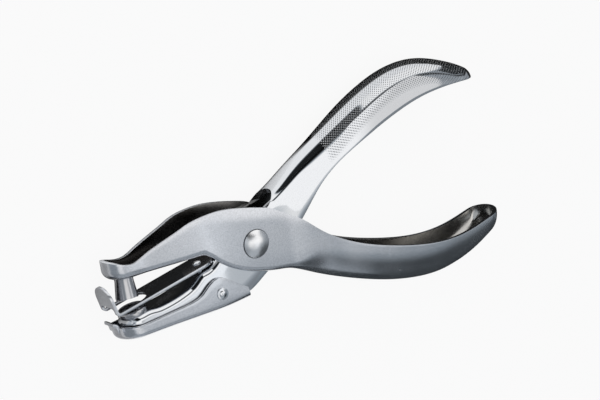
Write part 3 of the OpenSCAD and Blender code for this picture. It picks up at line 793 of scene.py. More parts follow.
punch_lever = pressed_lever("punch_lever_pressed", punch_form,
                            rib_places(PUNCH_FIRST_RIB, -15, 0.7, PUNCH_GRIP_REACH),
                            (PUNCH_FIRST_RIB - NOSE_X) / (WAIST_HALF + NOSE_FLARE))
window = bmesh.new()
add_wedge(window, [(x, punch_half_at(x) - SHEET + 3 * SHY) for x in WINDOW_PLACES],
          -BEYOND, WINDOW_TOP, WINDOW_CORNER)
cut(punch_lever, window)
unroll(punch_lever, punch_form)
finish_piece(punch_lever, PUNCH_PLACE, "punch_lever", satin,
             ["punch_lever"], channel_shade_lining,
             faces_inside(punch_lever, punch_form, (-40, 79)))

# %% [markdown]
# ## Die lever
# This lever is the lower jaw and the upper handle. Its cheeks lie inside those of the
# punch lever and lean out a little on the handle, as the press leaves them. The jaw's
# back steps down behind the die, and two small notches relieve the flap that closes its
# nose. Its window reaches from the jaw past the pivot, is open to both sides above the
# pivot and ends in a round at the root of the handle. One cutter of that shape would
# need many faces by hand, so three plain ones are used in turn.

# %% Form of the die lever
die_web = SmoothLine([
    (DIE_NOSE_X, DIE_FACE), (-38.31, DIE_FACE), (-35.91, DIE_FACE - 0.05),
    (-34.31, -2.48), (-32.31, -2.88), (-28.31, -3.03), (-25.31, -2.88), (-21.81, -2.38),
    (-19.61, -1.38), (-18.11, -0.48), (-16.51, -0.38), (-14.81, -0.38), (-13.51, 0.02),
    (-12.31, 0.62), (-9.31, 2.72), (-4.31, 5.52), (1.69, 7.92), (6.69, 8.72),
    (10.69, 9.32)] + on_handle(DIE_GRIP_REACH, [
        (-0.002, 11.1), (0.059, 13), (0.130, 14.9), (0.272, 18.25), (0.414, 21.6),
        (0.545, 23.72), (0.657, 24.47), (0.778, 23.17), (0.859, 20.32), (0.930, 16.92),
        (1.032, 11.32)]))
die_rim = SmoothLine([
    (DIE_NOSE_X, -5.48), (-36.31, -5.68), (-26.31, -6.68), (-18.31, -8.28),
    (-12.31, -11.08), (-8.81, -12.28), (-4.81, -11.88), (0.19, -10.08), (6.69, -7.48),
    (13.69, -2.88)] + on_handle(DIE_GRIP_REACH, [
        (0.079, 2.12), (0.140, 5.37), (0.201, 7.62), (0.282, 9.72), (0.434, 12.12),
        (0.586, 13.72), (0.707, 14.12), (0.829, 13.12), (0.940, 11.42), (1.032, 9.92)]))

CHEEK_LEAN = 0.05


def die_half_at(x):
    return handle_half(x, DIE_HALF, DIE_GRIP_REACH)


def die_bend_at(x):
    return ease(x, 4, 32, WAIST_BEND, GRIP_BEND)


def die_lean_at(x):
    return ease(x, 10, 16, 0, CHEEK_LEAN) * ease(x, 36, 50, 1, 0)


die_form = Channel(die_web, die_rim, -1, die_half_at, die_bend_at, lever_crown_at,
                   lean_at=die_lean_at)
print("length of the die lever's back:", round(die_web.length[-1], 1), "mm")

# %% [markdown]
# This lever is polished before it is plated, so it mirrors the room. Its knurl is deep and
# reaches further round the back, and darker shade is painted into its pits.

# %% Finish of the die lever
mirror, *mirror_parts = metal("pressed_mirror_chrome", CHROME, (0.04, 0.09),
                              (300, 300, 300), 0.000002)
add_knurl(*mirror_parts, die_web.along(30) / 10, die_web.along(84) / 10, reach=1.15,
          depth=0.00009, pit_shade=0.8)

# %% Die lever
DIE_FIRST_RIB = NOSE_X + 0.6 + DIE_HALF
DIE_SEAT_X, DIE_SEAT = -39.3, 7.1
NOTCH_FROM, NOTCH_TO, NOTCH_DEEP = DIE_NOSE_X + 2.9, DIE_NOSE_X + 3.7, 1.4
NOTCH_LOW, NOTCH_HIGH = -3.9, -1.2
WINDOW_FROM, WINDOW_TO = -12.8, 8
OPEN_FROM, OPEN_TO, OPEN_FLOOR = -4, 7.6, 6.9    # where the cheeks are cut away too
ROOT_X, ROOT_Y = 7.5, 13.4                       # centre of the round at the root

die_lever = pressed_lever("die_lever_pressed", die_form,
                          rib_places(DIE_FIRST_RIB, -11, 0.6, DIE_GRIP_REACH), 1)
window = bmesh.new()
add_block(window, (WINDOW_FROM, -BEYOND, SHY - DIE_INNER_HALF),
          (WINDOW_TO, BEYOND, DIE_INNER_HALF - SHY), WINDOW_CORNER)
for side in (-1, 1):
    add_block(window, (NOTCH_FROM, NOTCH_LOW, side * DIE_HALF - NOTCH_DEEP),
              (NOTCH_TO, NOTCH_HIGH, side * DIE_HALF + NOTCH_DEEP))
add_bore(window, (DIE_SEAT_X, -3, 0), DIE_SEAT, 6)
cut(die_lever, window)
window = bmesh.new()
add_block(window, (OPEN_FROM, OPEN_FLOOR, -DIE_HALF - 1),
          (OPEN_TO, BEYOND, DIE_HALF + 1))
cut(die_lever, window)
window = bmesh.new()
add_bore(window, (ROOT_X, ROOT_Y, 0), 2 * DIE_HALF - 0.1, 13)
cut(die_lever, window)
unroll(die_lever, die_form)
finish_piece(die_lever, DIE_PLACE, "die_lever", mirror,
             ["die_lever"], channel_shade_lining,
             faces_inside(die_lever, die_form, (DIE_FIRST_RIB, 80)))

# %% [markdown]
# ## Chip receptacle
# The receptacle is pressed like the levers, from thinner sheet, and hangs under the lower
# jaw on two studs. Its floor ends behind the die, two slits free its front flap, and a
# small curled lip in front lets a thumbnail pull it down. The lip could be bent out of
# the flap's own mesh, but a strip that is drawn round an arc keeps its thickness, so it
# is made by itself and set into the flap.

# %% Form of the receptacle
TRAY_SHEET = 0.9
TRAY_HALF = DIE_HALF + 0.25 + TRAY_SHEET
TRAY_BEND = 1.6
TRAY_NOSE_X = DIE_NOSE_X - 1.2
TRAY_END, TRAY_RUN_OUT = -6.7, 6     # pressed longer, then cut off square
tray_floor = SmoothLine([
    (TRAY_NOSE_X - 1, -6.78), (-40.31, -8.08), (-31.31, -9.63), (-23.31, -11.13),
    (-14.31, -12.73), (-6.31, -13.48), (1.69, -13.98)])
tray_rim = SmoothLine([
    (TRAY_NOSE_X - 1, -2.88), (-45.11, -3.28), (-43.31, -3.98), (-39.31, -4.68),
    (-30.81, -5.58), (-23.81, -6.18), (-20.71, -5.78), (-17.91, -4.28), (-15.31, -3.48),
    (-12.91, -4.18), (-9.31, -7.48), (-6.31, -10.68), (-2.31, -12.38), (1.69, -12.88)])
tray_form = Channel(tray_floor, tray_rim, 1, constant(TRAY_HALF), constant(TRAY_BEND),
                    constant(0))
print("receptacle:", 2 * TRAY_HALF, "mm wide")


# %% Lip helpers
def drawn_on(bm, face, move):
    """Extrudes an end face, moves the new end by a matrix and returns it."""
    made = bmesh.ops.extrude_face_region(bm, geom=[face])["geom"]
    bmesh.ops.transform(bm, matrix=move, verts=verts_of(made))
    if any(len(e.link_faces) > 2 for e in face.edges):
        bmesh.ops.delete(bm, geom=[face], context="FACES_ONLY")
    return next(g for g in made if isinstance(g, bmesh.types.BMFace))


def curled_lip(centre, width, radius, thickness, turn_degrees, foot, rounding):
    """A strip that stands on a foot and curls forward over an arc about an axis along Z."""
    bm = bmesh.new()
    made = bmesh.ops.create_grid(bm, x_segments=1, y_segments=1, size=0.5)["verts"]
    bmesh.ops.scale(bm, vec=(thickness, width, 1), verts=made)
    bmesh.ops.rotate(bm, matrix=Matrix.Rotation(math.radians(90), 3, "X"), verts=made)
    bmesh.ops.translate(bm, vec=(radius + thickness / 2, -foot, 0), verts=made)
    bm.faces.ensure_lookup_table()
    end = drawn_on(bm, bm.faces[0], Matrix.Translation((0, foot, 0)))
    for _ in range(12):
        end = drawn_on(bm, end, Matrix.Rotation(math.radians(turn_degrees / 12), 4, "Z"))
    bmesh.ops.recalc_face_normals(bm, faces=bm.faces)
    round_edges(bm, rounding)
    bmesh.ops.translate(bm, vec=centre, verts=bm.verts)
    return bm


def join_into(whole, bm):
    """Adds a bmesh to another one."""
    extra = bpy.data.meshes.new("extra")
    bm.to_mesh(extra)
    bm.free()
    whole.from_mesh(extra)
    bpy.data.meshes.remove(extra)


# %% Chip receptacle
SLIT_FROM, SLIT_TO = TRAY_NOSE_X + 0.95, TRAY_NOSE_X + 1.55
SLIT_LOW, SLIT_HIGH, SLIT_SIDE, SLIT_DEEP = -4.5, 0.5, 4.8, 1.5
FLOOR_END = -17.3

tray_ribs = steps(TRAY_NOSE_X + TRAY_HALF, TRAY_END + TRAY_RUN_OUT, 0.6)
receptacle = new_object("chip_receptacle_pressed", pressed(
    tray_form, tray_ribs + [TRAY_END + TRAY_RUN_OUT], 1, 0.3, TRAY_SHEET, 0.2))
window = bmesh.new()
add_block(window, (TRAY_END, -BEYOND, -TRAY_HALF - 1), (BEYOND, BEYOND, TRAY_HALF + 1))
for side in (-1, 1):
    add_block(window, (SLIT_FROM, SLIT_LOW, side * SLIT_SIDE - SLIT_DEEP),
              (SLIT_TO, SLIT_HIGH, side * SLIT_SIDE + SLIT_DEEP))
cut(receptacle, window)
window = bmesh.new()
add_block(window, (FLOOR_END, -BEYOND, SHY + TRAY_SHEET - TRAY_HALF),
          (BEYOND, 0, TRAY_HALF - TRAY_SHEET - SHY), WINDOW_CORNER)
cut(receptacle, window)
tray_bm = bmesh.new()
tray_bm.from_mesh(receptacle.data)
join_into(tray_bm, curled_lip((TRAY_NOSE_X - 1.2, -3.2, 0), width=5, radius=1.2,
                              thickness=TRAY_SHEET, turn_degrees=75, foot=1.2,
                              rounding=0.22))
tray_bm.to_mesh(receptacle.data)
tray_bm.free()
finish_piece(receptacle, DIE_PLACE, "chip_receptacle", sheet_satin,
             ["chip_receptacle"])

# %% [markdown]
# ## Stripper plate
# A thin flat plate is riveted over the lower jaw. The punch passes through its slot and
# the plate pulls the paper off again. In front its two legs bend up into a fin. The mesh
# is two bands beside the middle line. Their inner edge follows the slot and their outer
# edge the outline, and where there is no slot the two bands are merged. An outline that
# is filled and cut would give long thin faces, which don't bend into a fin.

# %% Outline of the stripper plate
PLATE_TOP = DIE_FACE + 3.3
PLATE_SHEET = 0.8
PLATE_HALF = 4.5
REAR_X = -11.8 - PLATE_HALF
SLOT_HALF = 3.5
SLOT_BEHIND = 5.2        # how far the slot reaches behind the punch's middle
SLOT_TO = -PUNCH_REACH + SLOT_BEHIND - SLOT_HALF
FIN_HALF = 4.45
FIN_BEND = 0.6
FIN_LEAN = math.radians(2)
BEND_X = NOSE_X - 0.25 + FIN_BEND
FIN_ARCH = 1.2           # height of the slot's arched end on the fin
FIN_STRAIGHT = 3.1       # height where the fin's round corners begin
FIN_CORNER = 4.2


def quarter(count):
    """Sines and cosines from 0 to 90 degrees."""
    return [(math.sin(math.pi / 2 * k / count), math.cos(math.pi / 2 * k / count))
            for k in range(count + 1)]


def fin_point(height):
    """A point of the fin's inner face at a height above the bend's centre."""
    s, c = math.sin(FIN_LEAN), math.cos(FIN_LEAN)
    return (BEND_X - FIN_BEND * c - height * s,
            PLATE_TOP + FIN_BEND - FIN_BEND * s + height * c)


plate_rows = [((REAR_X + PLATE_HALF * s, PLATE_TOP), 0, max(PLATE_HALF * c, 0))
              for s, c in reversed(quarter(14))]
plate_rows += [((x, PLATE_TOP), 0, PLATE_HALF)
               for x in steps(REAR_X, SLOT_TO + SLOT_HALF, 1.5)[1:]]
plate_rows += [((SLOT_TO + SLOT_HALF * s, PLATE_TOP), SLOT_HALF * max(c, 0), PLATE_HALF)
               for s, c in reversed(quarter(12))]
plate_rows += [((x, PLATE_TOP), SLOT_HALF,
                ease(x, BEND_X, BEND_X + 2, FIN_HALF, PLATE_HALF))
               for x in steps(SLOT_TO, BEND_X, 0.8)[1:]]
for k in range(8):
    turn = math.radians(270) - (math.radians(90) - FIN_LEAN) * k / 8
    plate_rows.append(((BEND_X + FIN_BEND * math.cos(turn),
                        PLATE_TOP + FIN_BEND * (1 + math.sin(turn))), SLOT_HALF, FIN_HALF))
plate_rows += [(fin_point(FIN_ARCH * math.sqrt(s)), SLOT_HALF * math.sqrt(max(c, 0)),
                FIN_HALF) for s, c in quarter(14)]
plate_rows += [(fin_point(h), 0, FIN_HALF)
               for h in steps(FIN_ARCH, FIN_STRAIGHT, 0.5)[1:]]
plate_rows += [(fin_point(FIN_STRAIGHT + FIN_CORNER * s), 0,
                FIN_HALF - FIN_CORNER + FIN_CORNER * c) for s, c in quarter(14)]
print("rows of the plate:", len(plate_rows))


# %% Stripper plate
def folded_strip(rows, columns, thickness, rounding):
    """A folded strip from rows of (place on its side line, inner and outer half-width)."""
    bm = bmesh.new()
    for side in (-1, 1):
        verts = bmesh.ops.create_grid(bm, x_segments=columns, y_segments=len(rows) - 1,
                                      size=0.5)["verts"]
        verts.sort(key=lambda v: (round(v.co.y, 6), round(v.co.x, 6)))
        for index, vert in enumerate(verts):
            (x, y), inner, outer = rows[index // (columns + 1)]
            share = (index % (columns + 1)) / columns
            vert.co = (x, y, side * (inner + (outer - inner) * share))
    bmesh.ops.remove_doubles(bm, verts=bm.verts, dist=0.003)
    bmesh.ops.recalc_face_normals(bm, faces=bm.faces)
    flat = max(bm.faces, key=lambda f: f.calc_area())
    if flat.normal.y < 0:
        bmesh.ops.reverse_faces(bm, faces=bm.faces)
    bmesh.ops.solidify(bm, geom=bm.faces[:], thickness=thickness)
    print("volume of the plate:", round(bm.calc_volume(signed=True), 1), "mm3")
    round_edges(bm, rounding, angle=50)
    return bm


stripper = new_object("stripper_plate_folded",
                      folded_strip(plate_rows, 5, PLATE_SHEET, 0.16))
finish_piece(stripper, DIE_PLACE, "die_lever", sheet_satin,
             ["stripper_plate"])

# %% [markdown]
# ## Turned pieces
# The rivet, the bush, the punch, the die and the small rivets are turned parts. Each
# starts as one half-profile, a chain of vertices beside the axis, that is spun once
# round. Cylinders and a sphere could be joined instead, but a profile says each step of
# the turning in one line. A head that stood flush on its sheet would look glued on, so
# the big rivet's dome is undercut a little, which leaves the fine dark line that a real
# rivet has.

# %% Turning helpers
UPRIGHT = Matrix.Rotation(math.radians(-90), 4, "X")


def spun(profile, closed=False, rounding=0.0, count=96):
    """A turned piece about Z from a half-profile of (radius, height) points."""
    bm = bmesh.new()
    verts = [bm.verts.new((r, 0, h)) for r, h in profile]
    edges = [bm.edges.new(pair) for pair in zip(verts, verts[1:])]
    if closed:
        edges.append(bm.edges.new((verts[-1], verts[0])))
    bmesh.ops.spin(bm, geom=verts + edges, cent=(0, 0, 0), axis=(0, 0, 1),
                   dvec=(0, 0, 0), angle=math.radians(360), steps=count, use_merge=True)
    bmesh.ops.remove_doubles(bm, verts=bm.verts, dist=0.002)
    bmesh.ops.recalc_face_normals(bm, faces=bm.faces)
    if rounding:
        round_edges(bm, rounding)
    return bm


def domed(diameter, height, edge, base, cut_off=0.0, count=14, undercut=0.0):
    """Half-profile of a domed head from its edge to the axis."""
    cap = height + cut_off - edge
    r = (diameter * diameter / 4 + cap * cap) / (2 * cap)
    widest = math.asin(diameter / 2 / r)
    points = [(diameter / 2 - undercut, base), (diameter / 2, base + edge)]
    for k in range(1, count + 1):
        a = widest * (1 - k / count)
        h = height + cut_off - r + r * math.cos(a)
        if h > height:
            a = math.acos((r - cut_off) / r)
            points += [(r * math.sin(a), base + height), (0, base + height)]
            break
        points.append((r * math.sin(a), base + h))
    return points


print("a shallow dome has", len(domed(2, 0.5, 0.1, 0)), "points")

# %% Pivot rivet and bush
RIVET_HEAD = {"diameter": 8, "height": 1.9, "edge": 0.3, "base": PUNCH_HALF,
              "undercut": 0.2}
RIVET_SHANK, REST_CUT = 2.5, 0.3     # the lower dome is cut flat, the tool rests on it
BUSH_BORE, BUSH_OUTER, BUSH_HALF = 2.55, 3.6, DIE_INNER_HALF - 0.2

lower_head = [(r, -h) for r, h in domed(**RIVET_HEAD, cut_off=REST_CUT)]
shank = [(RIVET_SHANK, -PUNCH_HALF), (RIVET_SHANK, PUNCH_HALF)]
rivet = new_object("pivot_rivet_turned", spun(
    lower_head[::-1] + shank + domed(**RIVET_HEAD), rounding=0.1))
finish_piece(rivet, placed(0), "punch_lever", rivet_metal,
             ["pivot_rivet"])
bush = new_object("pivot_bush_turned", spun(
    [(BUSH_BORE, -BUSH_HALF), (BUSH_OUTER, -BUSH_HALF), (BUSH_OUTER, BUSH_HALF),
     (BUSH_BORE, BUSH_HALF)], closed=True, rounding=0.15))
finish_piece(bush, placed(0), "die_lever", plain, ["pivot_bush"])

# %% [markdown]
# The punch flares to its cutting end, so that only the rim rubs in the paper, and this
# end is hollowed like a saddle: it starts to cut at two points and needs less force. Its
# shank goes through the jaw and is riveted over. A Boolean could cut the saddle, but
# lifting the end's own vertices leaves a cleaner mesh. The die stands where the punch
# enters it on its arc, which is not quite where the punch stands when the tool is open.

# %% Punch and die
PUNCH_LEN = 6.2
CUT_R, NECK_R, SEAT_R, CUT_LAND = 3.175, 2.65, 2, 0.5
SADDLE_R, SADDLE_DEPTH = 7.0, 0.6
DIE_BORE_R, DIE_SEAT_R, DIE_R, DIE_RISE = 3.375, 3.7, 4.3, 1.3

punch_bm = spun([(CUT_R * k / 10, -PUNCH_LEN) for k in range(11)] + [
    (CUT_R, CUT_LAND - PUNCH_LEN), (NECK_R, -1.2), (NECK_R, 0), (SEAT_R, 0),
    (SEAT_R, SHEET), (2.5, SHEET), (2.2, SHEET + 0.48), (1.3, SHEET + 0.8),
    (0, SHEET + 0.8)])
for v in punch_bm.verts:
    if v.co.z < -PUNCH_LEN + 0.001:
        hollow = SADDLE_DEPTH - SADDLE_R + math.sqrt(SADDLE_R ** 2 - v.co.x ** 2)
        v.co.z += max(0, hollow)
punch = new_object("punch_turned", punch_bm)
punch_seat = Matrix.Translation((-PUNCH_REACH, PUNCH_FACE, 0)) @ UPRIGHT
finish_piece(punch, PUNCH_PLACE @ punch_seat, "punch_lever", ground,
             ["punch_pin"])

tip_y = PUNCH_FACE - PUNCH_LEN
entry = math.asin((DIE_FACE + DIE_RISE - tip_y) / PUNCH_REACH)
DIE_X = (tip_y * math.sin(entry) - PUNCH_REACH * (1 + math.cos(entry))) / 2
die = new_object("die_turned", spun(
    [(DIE_BORE_R, -SHEET), (DIE_SEAT_R, -SHEET), (DIE_SEAT_R, 0), (DIE_R, 0),
     (DIE_R, DIE_RISE - 0.3), (DIE_R - 0.3, DIE_RISE), (DIE_BORE_R, DIE_RISE)],
    closed=True, rounding=0.08))
die_seat = Matrix.Translation((DIE_X, DIE_FACE, 0)) @ UPRIGHT
finish_piece(die, DIE_PLACE @ die_seat, "die_lever", ground, ["die"])

# %% [markdown]
# One small rivet holds the stripper plate at its rear, with a collar between the plate
# and the jaw. The receptacle hangs on two studs, one in each cheek of the jaw. They are
# one node in the frame and so one mesh here: the same profile is spun twice, and one of
# the two is turned over. A mirror modifier would do as well, but it would be a modifier
# more to apply for a mesh this small.

# %% Stripper rivet and receptacle studs
PLATE_RIVET_X = -16.4
COLLAR_R, PIN_R, RIVET_GAP, RIVET_FOOT = 1.45, 0.8, 0.15, 0.5
STUD_PLACE = Vector((-14.9, -8.1, 0))
STUD_R, FLANGE_R, FLANGE = 1.1, 1.7, 0.35
SMALL_TURNS = {"rounding": 0.06, "count": 64}

web_y = die_web.at(PLATE_RIVET_X)
under, over = web_y - SHEET - RIVET_GAP, web_y + RIVET_GAP
plate_low = PLATE_TOP - PLATE_SHEET
plate_rivet = new_object("stripper_rivet_turned", spun(
    [(0, under - RIVET_FOOT), (COLLAR_R, under - RIVET_FOOT), (COLLAR_R, under),
     (PIN_R, under), (PIN_R, over), (COLLAR_R, over), (COLLAR_R, plate_low),
     (PIN_R, plate_low), (PIN_R, PLATE_TOP)]
    + domed(2 * COLLAR_R, 0.7, 0.2, PLATE_TOP), **SMALL_TURNS))
rivet_seat = Matrix.Translation((PLATE_RIVET_X, 0, 0)) @ UPRIGHT
finish_piece(plate_rivet, DIE_PLACE @ rivet_seat, "die_lever", bright,
             ["stripper_rivet"])

stud_to = TRAY_HALF + 0.05 - DIE_INNER_HALF
stud_line = [(0, 0), (STUD_R, 0), (STUD_R, stud_to), (FLANGE_R, stud_to),
             (FLANGE_R, stud_to + FLANGE)] + domed(2 * STUD_R, 0.45, 0.1, stud_to + FLANGE)
studs_bm = bmesh.new()
for side in (-1, 1):
    stud = spun(stud_line, **SMALL_TURNS)
    seat = Matrix.Translation(STUD_PLACE + Vector((0, 0, side * DIE_INNER_HALF)))
    if side < 0:
        seat = seat @ Matrix.Rotation(math.radians(180), 4, "X")
    bmesh.ops.transform(stud, matrix=seat, verts=stud.verts)
    join_into(studs_bm, stud)
studs = new_object("receptacle_studs_turned", studs_bm)
finish_piece(studs, DIE_PLACE, "die_lever", bright,
             ["receptacle_studs"])

# %% [markdown]
# ## Return spring
# The torsion spring's turns lie round the bush and its arms run into the two handles. A
# curve with a round bevel would look the same. Here a ring of vertices is drawn along the
# wire's path: its lower arm follows the punch lever, its upper arm the die lever, and the
# turns lie between them.

# %% Path of the spring
WIRE = 1.2
COIL_R = BUSH_OUTER + 0.3 + WIRE / 2
PITCH = WIRE + 0.5
PUNCH_ARM, DIE_ARM, TURNS = 19, 14, 3    # slopes of the arms in degrees, full turns
ARM_REACH, ARM_GAP = 25.0, 0.12
FOOT = 4.5               # the end of an arm, which bends to lie along the handle's back


def spring_arm(web, side, angle):
    """Path of one arm in its lever's own place, from the turns outwards."""
    a = math.radians(angle)
    start = Vector((-COIL_R * math.sin(a), side * COIL_R * math.cos(a)))
    heading = Vector((math.cos(a), side * math.sin(a)))
    straight = (ARM_REACH - FOOT - start.x) / heading.x
    bend = start + straight * heading
    middle = bend + FOOT * 0.6 * heading
    under_back = SHEET + lever_crown_at(ARM_REACH) + WIRE / 2 + ARM_GAP
    end = Vector((ARM_REACH, web.at(ARM_REACH) - side * under_back))
    points = [start + heading * straight * k / 16 for k in range(16)]
    for k in range(11):
        u = k / 10
        points.append((1 - u) ** 2 * bend + 2 * u * (1 - u) * middle + u * u * end)
    return points


def swung(points, degrees, z):
    """Turns flat points about the pivot and lifts them."""
    turn = Matrix.Rotation(math.radians(degrees), 3, "Z")
    return [turn @ Vector((p.x, p.y, z)) for p in points]


first_turn = -90 - PUNCH_ARM - OPENING / 2
sweep = 360 * (TURNS + 1) - 180 - PUNCH_ARM - DIE_ARM - OPENING
rise = PITCH * sweep / 360
coil_count = round(sweep / 8)
coil = []
for k in range(1, coil_count):
    a = math.radians(first_turn - sweep * k / coil_count)
    coil.append(Vector((COIL_R * math.cos(a), COIL_R * math.sin(a),
                        rise * (k / coil_count - 0.5))))
wire_path = (swung(spring_arm(punch_web, -1, PUNCH_ARM), -OPENING / 2, -rise / 2)[::-1]
             + coil + swung(spring_arm(die_web, 1, DIE_ARM), OPENING / 2, rise / 2))
print("wire:", round(sum((b - a).length for a, b in zip(wire_path, wire_path[1:]))),
      "mm long")


# %% Return spring
def drawn_wire(path, diameter, sides=14):
    """A round wire along a path, as a closed shell with rounded ends."""
    bm = bmesh.new()
    bmesh.ops.create_circle(bm, cap_ends=True, radius=diameter / 2, segments=sides)
    ring = bm.verts[:]
    last = len(path) - 1
    for i, point in enumerate(path):
        if i:
            ring = ring_step(bm, ring)
        ahead = (path[min(last, i + 1)] - path[max(0, i - 1)]).normalized()
        out = Vector((0, 0, 1)).cross(ahead).normalized()
        top = ahead.cross(out)
        for k, vert in enumerate(ring):
            a = 2 * math.pi * k / sides
            vert.co = point + diameter / 2 * (math.cos(a) * out + math.sin(a) * top)
    bm.faces.new(ring)
    bmesh.ops.recalc_face_normals(bm, faces=bm.faces)
    round_edges(bm, diameter * 0.12, angle=60)
    return bm


spring = new_object("return_spring_wound", drawn_wire(wire_path, WIRE))
spring.data.transform(placed(0))
spring.data.shade_smooth()
spring.data.materials.append(wire_metal)
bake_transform(spring)
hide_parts("return_spring")
print("spring:", len(spring.data.polygons), "faces")

# %% [markdown]
# ## Studio
# The tool lies on a plain white table. Chrome has no colour of its own and shows the room
# round it, so the room is painted on the world by direction: a pale ceiling, one large
# soft panel on the side of the die lever's handle and two weak ones. Two dark strips
# stand between the lights. They give the black lines along the shoulders of the handles.
# Area lamps could stand there instead, but a panel that is only a direction can be moved
# until its reflection lies where it should. The room is a little blue where it is dim,
# and the camera itself sees white past the table.

# %% Room
# Each light or strip: azimuth, elevation, half width and half height in degrees, how
# softly its sides and its ends fade, and its strength
PANELS = [(64, 6, 33, 37, 0.12, 0.12, 0.7), (135, 10, 25, 35, 0.4, 0.4, 0.2),
          (-90, 25, 25, 20, 0.6, 0.6, 0.15)]
STRIPS = [(104, 31, 12, 21, 0.25, 1.45, 0.985), (58, 53, 32, 5, 0.5, 0.6, 0.88)]
DIM_TINT, LIGHT_TINT, WHITE = (0.88, 0.96, 1.04, 1), (1, 0.99, 0.975, 1), (1, 1, 1, 1)
BACKDROP = 0.97
WALLS, CEILING = 0.34, 1.08
CEILING_FROM, CEILING_TO = 0.75, 0.92    # sines of the elevation
DIM_SIDE = 0.78          # the ceiling on the side of the punch lever's handle

scene = bpy.context.scene
scene.view_settings.view_transform = "Standard"
world = bpy.data.worlds.new("studio")
scene.world = world
world.use_nodes = True
room = Recipe(world.node_tree)
direction = room.node("ShaderNodeTexCoord").outputs["Generated"]


def facing(azimuth, elevation):
    """A unit vector for a direction given in degrees."""
    a, e = math.radians(azimuth), math.radians(elevation)
    return Vector((math.cos(a) * math.cos(e), math.sin(a) * math.cos(e), math.sin(e)))


def share_of(vector):
    """How far the direction points along a vector."""
    made = room.node("ShaderNodeVectorMath", operation="DOT_PRODUCT")
    room.feed(made.inputs[0], direction)
    made.inputs[1].default_value = vector
    return made.outputs["Value"]


def panel(azimuth, elevation, half_width, half_height, soft_sides, soft_ends, strength):
    """A soft-edged panel of the room, as a node value."""
    ahead = facing(azimuth, elevation)
    right = Vector((0, 0, 1)).cross(ahead).normalized()
    front = room.math("MAXIMUM", share_of(ahead), 0.001)
    masks = []
    for across, half, soft in ((right, half_width, soft_sides),
                               (ahead.cross(right), half_height, soft_ends)):
        edge = math.tan(math.radians(half))
        off = room.math("ABSOLUTE", room.math("DIVIDE", share_of(across), front))
        masks.append(room.ramp(off, edge, edge * (1 + soft), 1, 0))
    return room.math("MULTIPLY", room.math("MULTIPLY", *masks), strength)


overhead = room.ramp(share_of(Vector((0, 0, 1))), CEILING_FROM, CEILING_TO, WALLS,
                     CEILING)
light = room.math("MULTIPLY", overhead,
                  room.ramp(share_of(Vector((0, 1, 0))), -0.34, -0.1, DIM_SIDE, 1))
for given in PANELS:
    light = room.math("ADD", light, panel(*given))
strips = room.math("MAXIMUM", *(panel(*given) for given in STRIPS))
light = room.math("MULTIPLY", light, room.math("SUBTRACT", 1, strips))
tint = room.blend(room.ramp(light, 0.3, 1.0), DIM_TINT, LIGHT_TINT)
looked_at = room.node("ShaderNodeLightPath").outputs["Is Camera Ray"]
unseen = room.math("MULTIPLY", light, room.math("SUBTRACT", 1, looked_at))
strength = room.math("ADD", unseen, room.math("MULTIPLY", looked_at, BACKDROP))
room.fed(world.node_tree.nodes["Background"], "Background",
         Color=room.blend(looked_at, tint, WHITE), Strength=strength)
print("lights in the room:", len(PANELS), "and a ceiling, dark strips:", len(STRIPS))

# %% [markdown]
# The table is white for the camera and keeps a faint shadow. In the mirrors it has to be
# darker near the tool, where a real table is shaded. Darker cloth would do that, but it
# would also turn the picture's ground grey. So mirror rays read a tone that is worked
# out: darker where the tool shelters the table, in front of the jaws, and in the upper
# handle's shadow, whose edge leaves the handle towards its tip.

# %% Table
TABLE_HALF = 1.5
SHELTER_REACH = 0.03
WHITE_SHARE = 0.92       # how much of the camera's table is plain white
DEEPEST, JAWS_TONE, FAR_TONE = 0.015, 0.38, 0.62
# The shadow's edge nears EDGE_Y along X, from EDGE_DROP below it at EDGE_X
EDGE_X, EDGE_Y, EDGE_DROP, EDGE_LENGTH = 0.031, 0.05, 0.0225, 0.025

bm = bmesh.new()
bmesh.ops.create_grid(bm, x_segments=1, y_segments=1, size=TABLE_HALF)
floor = new_object("floor", bm)
table = bpy.data.materials.new("white_table")
table.use_nodes = True
cloth = Recipe(table.node_tree)
surface = table.node_tree.nodes["Principled BSDF"]
surface.inputs["Base Color"].default_value = (0.8, 0.8, 0.8, 1)
surface.inputs["Roughness"].default_value = 0.9
paths = cloth.node("ShaderNodeLightPath").outputs
in_camera = paths["Is Camera Ray"]
mirrored = cloth.math("ADD", paths["Is Glossy Ray"], paths["Is Transmission Ray"])
shelter = cloth.fed(cloth.node("ShaderNodeAmbientOcclusion", samples=8), "AO",
                    Distance=SHELTER_REACH)
spot = cloth.parts(cloth.place())
near_jaws = cloth.math(
    "MAXIMUM", cloth.ramp(spot["X"], -0.09, -0.076, FAR_TONE, JAWS_TONE),
    cloth.ramp(spot["X"], -0.052, -0.038, JAWS_TONE, 1))
tone = cloth.math("MULTIPLY", cloth.ramp(shelter, 0.5, 0.72, DEEPEST, 0.95), near_jaws)
fade = cloth.math("POWER", math.e, cloth.math(
    "DIVIDE", cloth.math("SUBTRACT", EDGE_X, spot["X"]), EDGE_LENGTH))
edge = cloth.math("SUBTRACT", EDGE_Y, cloth.math("MULTIPLY", fade, EDGE_DROP))
beyond = cloth.ramp(cloth.math("SUBTRACT", spot["Y"], edge), -0.001, 0.003)
before = cloth.ramp(spot["X"], 0.02, 0.03, 1, 0)
lit = cloth.math("MAXIMUM", cloth.math("MAXIMUM", beyond, before), DEEPEST)
tone = cloth.math("MULTIPLY", tone, lit)
white = cloth.fed(cloth.node("ShaderNodeEmission"), "Emission", Color=WHITE,
                  Strength=cloth.math("MAXIMUM", in_camera, tone))
mix = cloth.node("ShaderNodeMixShader")
cloth.feed(mix.inputs["Fac"], cloth.math(
    "ADD", cloth.math("MULTIPLY", in_camera, WHITE_SHARE), mirrored))
cloth.feed(mix.inputs[1], surface.outputs["BSDF"])
cloth.feed(mix.inputs[2], white)
